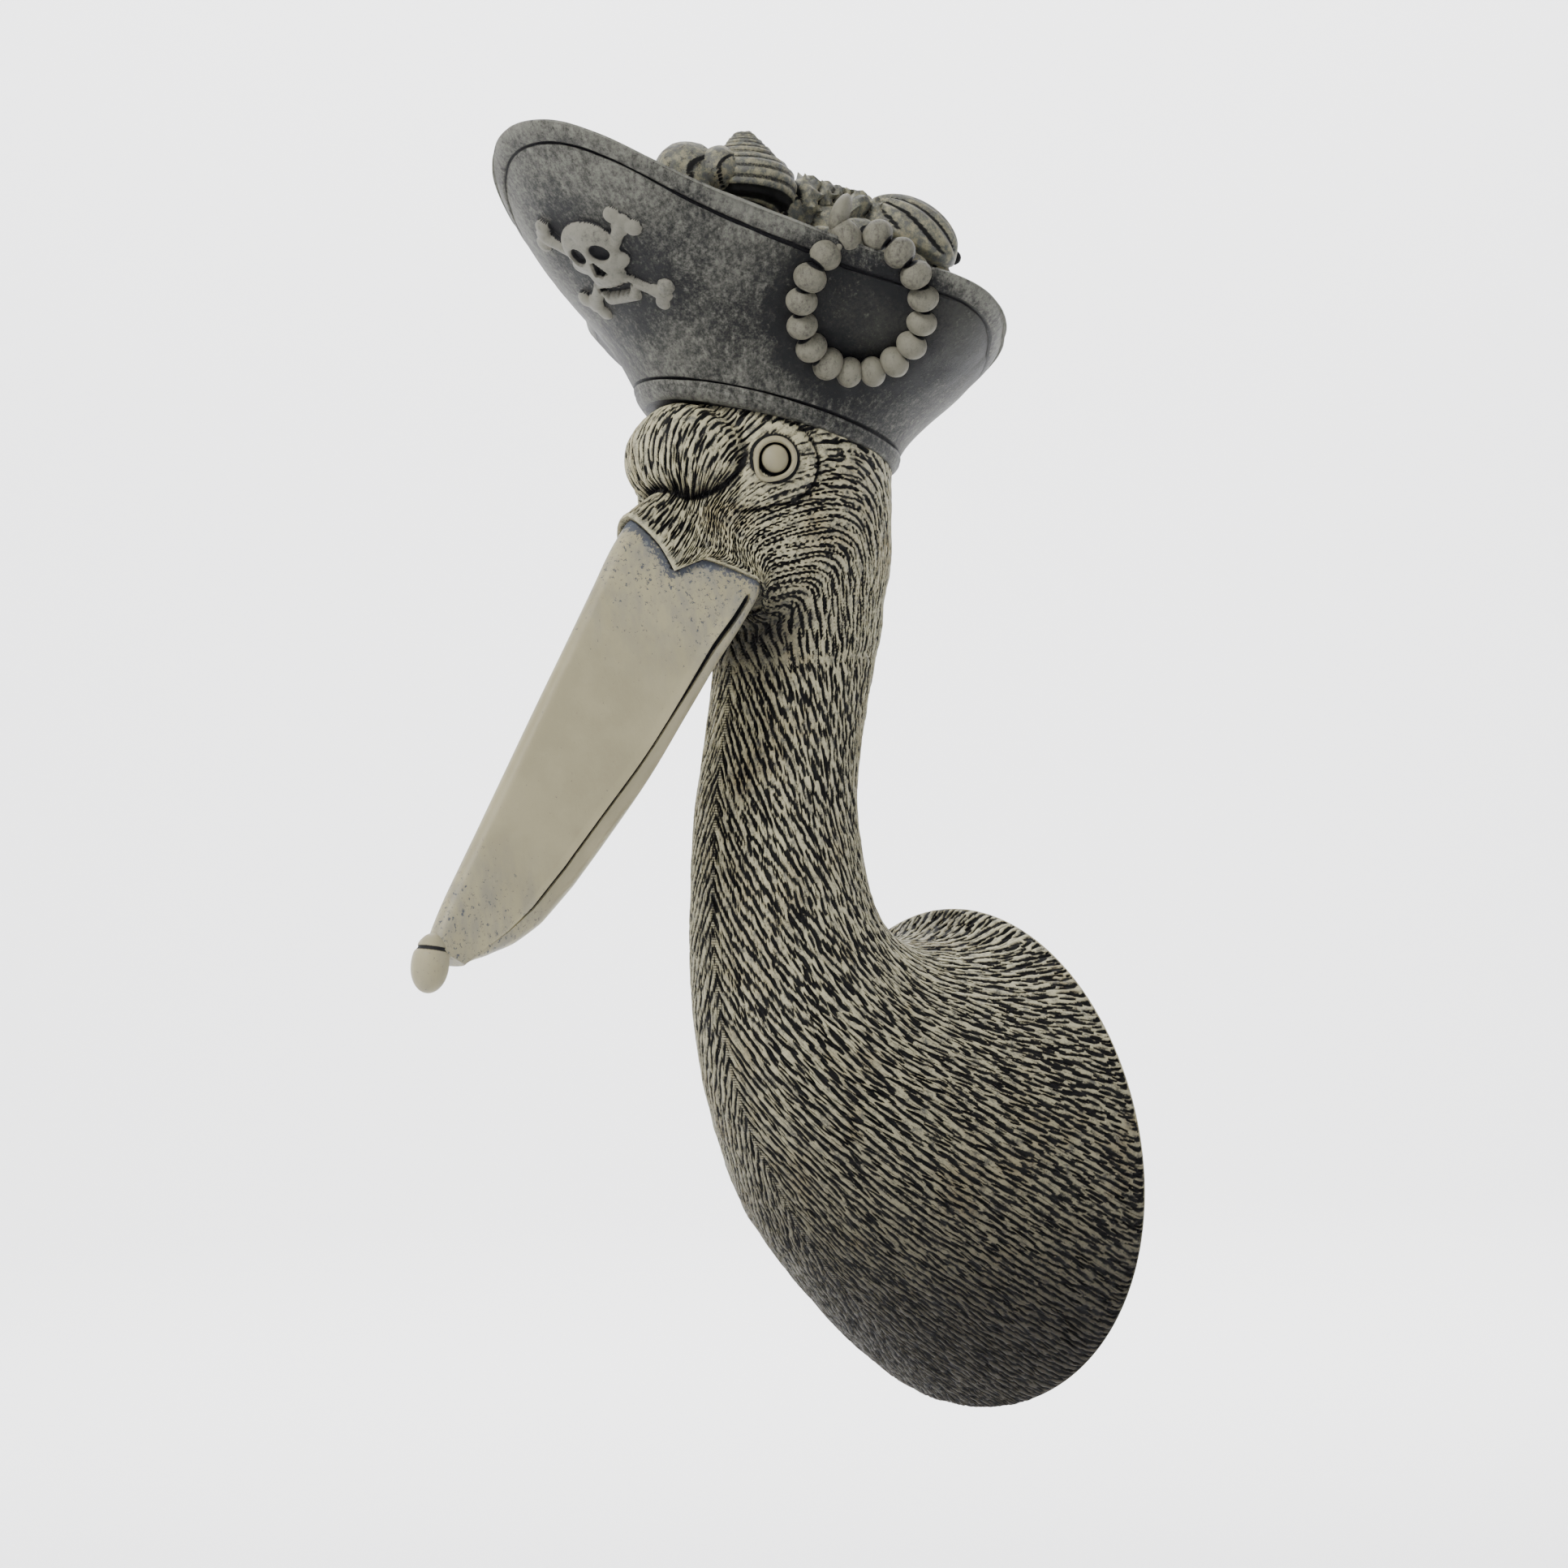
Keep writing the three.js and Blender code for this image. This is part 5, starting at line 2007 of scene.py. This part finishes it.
@dataclass(frozen=True)
class SpiralShell:
    """A coiled shell, from a smooth moon shell to a ribbed turban shell.

    Attributes:
        at: Middle of its widest whorl.
        radius: Its largest radius.
        height: Height of the tip over the widest whorl.
        turns: How many whorls it has.
        growth: How fast they grow, as the logarithm of their growth in all.
        ribs: How many ridges run along a whorl.
        rib_height: Their height.
        bumps: How many knobs a whorl has.
        bump_height: Their height.
        lean: Turns about x, y and z.
        start: Angle where the mouth lies.
    """

    at: Size
    radius: float
    height: float
    turns: float = 3.5
    growth: float = 2.4
    ribs: int = 0
    rib_height: float = 0.0
    bumps: int = 0
    bump_height: float = 0.0
    lean: Size = (0, 0, 0)
    start: float = 0.0

    def shape(self) -> Shape:
        """The whorls as one coiled tube.

        Returns:
            Its shape.
        """
        section = max(24, 5 * self.ribs)
        steps = int(34 * self.turns)
        share = np.linspace(0.0, 1.0, steps)[:, None]
        spin = self.start + TURN * self.turns * share
        grow = np.exp(self.growth * (share - 1))
        around = (TURN * np.arange(section) / section)[None, :]
        reach = self.radius * 0.52 * grow
        whorl = self.radius * 0.50 * grow + 0.15
        wave = np.cos(self.ribs * around)
        ripple = self.rib_height * (0.5 + 0.5 * wave) * (0.8 + 0.2 * np.cos(44 * spin)) * grow**0.5
        knob = 0
        if self.bumps:
            for place, wide, shift in ((1.0, 0.6, 0.0), (-0.2, 0.5, 2.0), (2.2, 0.5, 4.0)):
                knob = knob + np.clip(np.cos(self.bumps * spin + shift), 0, 1) * bell(around - place, wide)
            knob = self.bump_height * knob * grow
        thick = whorl + ripple + knob
        r = reach + thick * np.cos(around)
        z = self.height * (1 - grow) + thick * np.sin(around) * 1.08
        grid = np.stack([r * np.cos(spin), r * np.sin(spin), z], -1)
        valley = (0.5 - 0.5 * wave) ** 3
        suture = bell(np.abs(np.angle(np.exp(1j * (around - 2.2)))), 0.3)
        low = bell(np.abs(np.angle(np.exp(1j * (around + 0.9)))), 0.35)
        wash = np.clip(0.6 * valley**2 + 0.8 * suture + 0.5 * low, 0, 1) + 0 * share
        return tube(grid @ turning(self.lean).T + self.at, {"wash": wash, "worn": 0.6})


def turning(lean: Sequence[float]) -> Array:
    """Rotation matrix of turns about the three axes.

    Args:
        lean: Angles about x, y and z.

    Returns:
        The matrix, which turns about z first.
    """
    x, y, z = lean
    about_x = np.array([[1, 0, 0], [0, math.cos(x), -math.sin(x)], [0, math.sin(x), math.cos(x)]])
    about_y = np.array([[math.cos(y), 0, math.sin(y)], [0, 1, 0], [-math.sin(y), 0, math.cos(y)]])
    about_z = np.array([[math.cos(z), -math.sin(z), 0], [math.sin(z), math.cos(z), 0], [0, 0, 1]])
    return about_x @ about_y @ about_z


@dataclass(frozen=True)
class Cockle:
    """Half a cockle shell, hollow side down, with ribs fanning from its beak.

    Attributes:
        at: Its middle.
        half: Half its width, half its length and its height.
        along: Direction that its ribs run in, away from its beak.
        up: Direction of its top.
        ribs: How many ribs it has.
        beak: Place along it where the ribs meet, in half lengths.
        hollow: Depth of its lower side as a share of its height.
    """

    at: Size
    half: Size
    along: Size
    up: Size
    ribs: int = 13
    beak: float = -2.2
    hollow: float = 0.3

    def shape(self) -> Shape:
        """A ribbed dome, closed below.

        Returns:
            Its shape.
        """
        ball = unit_ball(46, 190)
        x, y, z = np.moveaxis(ball, -1, 0)
        over = np.arccos(np.clip(z / np.maximum(np.hypot(x, z), TINY), -1, 1))
        ridge = np.cos(np.arctan2(np.sign(x) * over, y - self.beak) * self.ribs * 2.6)
        fade = ease(1.0, 0.8, np.abs(y)) * ease(0.02, 0.14, z)
        points = ball * (1 + 0.035 * ridge * fade)[..., None]
        points[..., 2] *= np.where(points[..., 2] < 0, self.hollow, 1)
        along = unit(np.array(self.along))
        up = unit(self.up - along * (self.up @ along))
        grid = (points * self.half) @ np.stack([np.cross(along, up), along, up]) + self.at
        return tube(grid, {"wash": 0.8 * np.clip(-ridge, 0, 1) ** 4 * fade, "worn": 0.7})


@dataclass
class ShellHeap:
    """The shells heaped in the hat, on a mound of small ones.

    Attributes:
        mound_at: Middle of the mound.
        mound_half: Half its width, length and height.
        slope: How much it rises for each millimetre towards the front.
        moons: The smooth coiled shells.
        turban: The tall ribbed shell.
        knobbly: The shells with knobs.
        cockles: The fan-shaped shells.
        lumps: Smooth bits, each as x, y, z and its half length, half width and half height.
        pin_from: Where the pin starts.
        pin_to: Where it ends.
        pin_ball: Radius of the ball on its end.
    """

    mound_at: Size = (0, -101, 319)
    mound_half: Size = (56, 66, 26)
    slope: float = 0.4
    moons: tuple[SpiralShell, ...] = (
        SpiralShell((8, -143, 354), 15, 9, 2.4, lean=(0.3, -0.7, 0.2)),
        SpiralShell((-24, -128, 352), 14, 10, 2.4, lean=(0.4, -0.4, 2.0)),
    )
    turban: SpiralShell = SpiralShell(
        (27.5, -127.5, 361.5), 19, 26, 4.2, 1.75, ribs=14, rib_height=0.8, lean=(-0.1, -0.1, 0.0), start=0.6
    )
    knobbly: tuple[SpiralShell, ...] = (
        SpiralShell(
            (30.5, -111, 358.5), 11, 40, 5.5, 1.5, bumps=10, bump_height=4.0, lean=(-1.45, 0.28, 0.4)
        ),
        SpiralShell((48, -88, 351), 11, 12, 2.6, bumps=9, bump_height=3.4, lean=(-0.6, 0.6, 1.4)),
        SpiralShell((30, -92, 349), 14, 12, 2.8, bumps=10, bump_height=3.0, lean=(0.3, 0.5, 2.2)),
        SpiralShell((-16, -98, 346), 15, 12, 2.8, bumps=10, bump_height=3.0, lean=(-0.2, -0.5, 0.6)),
        SpiralShell((12, -60, 333), 15, 12, 2.8, bumps=10, bump_height=3.0, lean=(-0.5, 0.2, 3.0)),
    )
    cockles: tuple[Cockle, ...] = (
        Cockle((54.5, -72.5, 345.8), (15.5, 20, 15), (0.554, 0.67, -0.49), (0.40, 0.30, 0.86)),
        Cockle((-43, -82, 329), (16, 18, 13), (-0.5, 0.8, -0.3), (-0.35, 0.1, 0.93)),
    )
    lumps: tuple[tuple[float, ...], ...] = (
        (19.5, -147.5, 368.5, 12.5, 10, 11), (28, -141, 369.5, 8, 8, 8.5), (55, -106, 343, 12, 5, 3.4),
        (56, -97, 346.5, 8, 5, 5), (57, -61, 335.5, 7, 6, 4.5), (64, -86, 337, 11, 3.6, 4.5),
        (32, -113, 356, 9, 8, 8), (49, -62, 334, 11, 9, 7), (40, -97, 351, 9, 8, 7),
    )
    pin_from: Size = (54.6, -55.4, 334.5)
    pin_to: Size = (58.8, -51.2, 340.2)
    pin_ball: float = 2.7

    def mound(self) -> Shape:
        """A lumpy mound of worn shell bits that fills the dish.

        Returns:
            Its shape.
        """
        ball = unit_ball(70, 170)
        grid = (ball * self.mound_half) @ turning((-math.atan(self.slope), 0, 0)).T + self.mound_at
        rough, finer = smooth_noise(grid, 8, 21), smooth_noise(grid, 2.6, 22)
        lump = 3.6 * np.abs(rough) + 0.8 * np.abs(finer)
        wash = np.clip(0.6 * bell(rough, 0.07) + 0.3 * bell(finer, 0.08), 0, 1)
        return tube(grid + ball * lump[..., None], {"wash": wash, "worn": 0.4})

    def worn_bit(self, at: Sequence[float], half: Sequence[float]) -> Shape:
        """A smooth worn bit of shell that lies along the brim.

        Args:
            at: Its middle.
            half: Half its length, width and height.

        Returns:
            Its shape.
        """
        ball = unit_ball(24, 48)
        axes = np.array([[0.50, 0.78, -0.37], [0.84, -0.54, 0.0], [0.2, 0.31, 0.93]])
        grid = (ball * half) @ axes + at
        x, _, z = np.moveaxis(ball, -1, 0)
        crease = bell(x - 0.9 * z**2 + 0.1, 0.07) * ease(0.95, 0.8, np.abs(z))
        grid = grid + ball * (0.7 * smooth_noise(grid, 4, 31) - 0.9 * crease)[..., None]
        wash = np.maximum(0.3 * bell(smooth_noise(grid, 2.5, 32), 0.1), crease)
        return tube(grid, {"wash": wash, "worn": 0.6})

    def pin(self) -> Shape:
        """A short pin with a ball on its end.

        Returns:
            Its shape.
        """
        start, end = np.array(self.pin_from), np.array(self.pin_to)
        heading = unit(end - start)
        side = unit(np.cross(heading, [0, 0, 1]))
        up = np.cross(side, heading)
        length = math.dist(self.pin_from, self.pin_to)
        profile = [(0, 0.3), (0, 1.5), (length - 3, 1.4), (length - 2.4, 1.7)]
        for turn in np.linspace(0.65, 3.1, 14):
            radius = max(0.15, self.pin_ball * math.sin(turn))
            profile.append((length - self.pin_ball * math.cos(turn), radius))
        around = TURN * np.arange(24) / 24
        ring = np.outer(np.cos(around), side) + np.outer(np.sin(around), up)
        grid = np.stack([start + heading * at + radius * ring for at, radius in profile])
        return tube(grid, {"wash": 0.5, "worn": 0.0})

    def build(self, material: bpy.types.Material) -> None:
        """Makes every shell a piece.

        Args:
            material: Its finish.
        """

        def add_row(kind: str, shapes: Sequence[Shape]) -> None:
            """Makes a numbered piece of each shape."""
            for number, shape in enumerate(shapes, 1):
                add_piece(f"{kind}_{number}", shape, material, Slot.CAST)

        add_piece("shell_mound", self.mound(), material, Slot.CAST)
        add_row("moon_shell", [shell.shape() for shell in self.moons])
        add_piece("turban_shell", self.turban.shape(), material, Slot.CAST)
        add_row("knobbly_shell", [shell.shape() for shell in self.knobbly])
        add_row("shell_bit", [self.worn_bit(lump[:3], lump[3:]) for lump in self.lumps])
        add_row("cockle_shell", [shell.shape() for shell in self.cockles])
        add_piece("pin", self.pin(), material, Slot.HAT)


# ------------------------------------------------------------------ studio


@dataclass
class Studio:
    """A pale seamless floor, soft lights and the camera.

    Attributes:
        floor_z: Height of the floor in metres.
        radius: Radius of the flat floor in metres.
        aim: Where the camera looks, in metres.
        distance: How far away it stands.
        azimuth: Its angle round the object from straight ahead, in degrees.
        roll: Its roll in degrees.
        lens: Its focal length in millimetres.
        sensor: Width of its sensor in millimetres.
        subject: Middle of the ornament, which the lights face.
        bend: Radius of the sweep from the floor to the wall, in metres.
        wall: Height of the wall in metres.
        sides: Corners round the floor.
        floor_colour: Colour of floor and wall.
        haze: Colour and strength of the light from all round.
        lamps: The soft lights, each as name, place, width, watts, colour and where it faces.
    """

    floor_z: float = -0.42
    radius: float = 3.6
    aim: Size = (-0.0454, -0.0454, 0.1479)
    distance: float = 1.5
    azimuth: float = 45
    roll: float = -2
    lens: float = 88.3
    sensor: float = 36
    subject: Size = (0, -0.1, 0.14)
    bend: float = 1.2
    wall: float = 4.2
    sides: int = 96
    floor_colour: tuple[float, ...] = (0.82, 0.82, 0.83, 1)
    haze: tuple[tuple[float, ...], float] = ((0.96, 0.97, 1.0, 1), 0.22)
    lamps: tuple[tuple, ...] = (
        ("key", (0.35, -2.0, 2.0), 0.6, 60, (1.0, 0.985, 0.955)),
        ("side", (-1.9, -1.5, 1.2), 1.0, 12, (1.0, 0.99, 0.97)),
        ("fill", (2.2, -1.0, 0.9), 1.8, 2, (0.95, 0.98, 1.0)),
        ("back", (-1.2, 1.9, 1.4), 1.8, 6, (0.98, 0.99, 1.0)),
        ("wall", (-1.2, 1.2, 2.8), 2.4, 480, (1.0, 1.0, 1.0), (-3.6, 3.6, -0.2)),
    )

    def backdrop(self) -> None:
        """A floor that sweeps up into a pale wall all the way round."""
        profile = [(self.radius, 0.0)]
        for turn in np.linspace(0.1, math.pi / 2, 12):
            profile.append((self.radius + self.bend * math.sin(turn), self.bend * (1 - math.cos(turn))))
        profile.append((self.radius + self.bend, self.wall))
        reach, height = np.array(profile).T[..., None]
        around = TURN * np.arange(self.sides) / self.sides
        rings = [reach * np.cos(around), reach * np.sin(around), self.floor_z + height + 0 * around]
        points = np.stack(rings, -1).reshape(-1, 3).tolist() + [(0.0, 0.0, self.floor_z)]
        faces = [tuple(reversed(face)) for face in ring_faces(len(profile), self.sides)]
        faces += [(len(points) - 1, side, (side + 1) % self.sides) for side in range(self.sides)]
        mesh = bpy.data.meshes.new("floor")
        mesh.from_pydata(points, [], faces)
        mesh.polygons.foreach_set("use_smooth", [True] * len(mesh.polygons))
        floor = bpy.data.objects.new("floor", mesh)
        bpy.context.scene.collection.objects.link(floor)
        nodes = Nodes("pale floor", 0.9)
        nodes.shader.inputs["Base Color"].default_value = self.floor_colour
        mesh.materials.append(nodes.material)

    def light(
        self, name: str, place: Size, width: float, watts: float, colour: Colour, to: Size | None = None
    ) -> None:
        """Adds a square soft light.

        Args:
            name: The light's name.
            place: Where it stands, in metres.
            width: Its width.
            watts: Its power.
            colour: Its colour.
            to: Where it faces, or None for the subject.
        """
        lamp = bpy.data.lights.new(name, "AREA")
        lamp.size, lamp.energy, lamp.color = width, watts, colour
        holder = bpy.data.objects.new(name, lamp)
        holder.location = place
        facing = Vector(to or self.subject) - Vector(place)
        holder.rotation_euler = facing.to_track_quat("-Z", "Y").to_euler()
        bpy.context.scene.collection.objects.link(holder)

    def camera(self) -> None:
        """Adds the camera."""
        azimuth = math.radians(self.azimuth)
        back = Vector((math.sin(azimuth), -math.cos(azimuth), 0))
        lens = bpy.data.cameras.new("camera")
        lens.lens = self.lens
        lens.sensor_width = self.sensor
        lens.clip_end = 50
        eye = bpy.data.objects.new("camera", lens)
        eye.location = Vector(self.aim) + back * self.distance
        roll = Matrix.Rotation(math.radians(self.roll), 3, "Z")
        eye.rotation_euler = (back.to_track_quat("Z", "Y").to_matrix() @ roll).to_euler()
        bpy.context.scene.collection.objects.link(eye)
        bpy.context.scene.camera = eye

    def build(self) -> None:
        """Makes the studio."""
        self.camera()
        self.backdrop()
        world = bpy.data.worlds.new("studio")
        world.use_nodes = True
        sky = world.node_tree.nodes["Background"].inputs
        sky[0].default_value, sky[1].default_value = self.haze
        bpy.context.scene.world = world
        for lamp in self.lamps:
            self.light(*lamp)


def main() -> None:
    """Builds the studio and every piece of the ornament."""
    logging.basicConfig(level=logging.INFO, format="%(name)s: %(message)s")
    Studio().build()
    carved = CarvedFinish("carved plumage").material()
    shells = CarvedFinish(
        "washed shells", cream=(0.31, 0.295, 0.20), warm=(0.21, 0.175, 0.105), slate_share=1.0, low_soil_and_shade=0
    ).material()
    smooth = SmoothFinish("smooth beak").material()
    eyes = SmoothFinish("painted eye", cream=(0.31, 0.28, 0.18)).material()
    felt = HatFinish("brushed hat").material()
    raised = HatFinish(
        "worn relief", slate=(0.10, 0.098, 0.082), deep=(0.022, 0.023, 0.025), cream=(0.25, 0.243, 0.20)
    ).material()
    rubbed = HatFinish(
        "rubbed beads", slate=(0.055, 0.053, 0.043), deep=(0.012, 0.012, 0.013), cream=(0.235, 0.225, 0.175)
    ).material()
    Bird().build(carved)
    Beak().build(smooth)
    Eye().build(eyes)
    hat, beads = Hat(), BeadLoop()
    emblem = Emblem(hat)
    shaded = [(np.array(emblem.at), emblem.shade)] + [(middle, beads.shade) for middle in beads.middles()]
    hat.build(felt, shaded)
    emblem.build(raised)
    beads.build(rubbed)
    ShellHeap().build(shells)


if __name__ == "__main__":
    main()
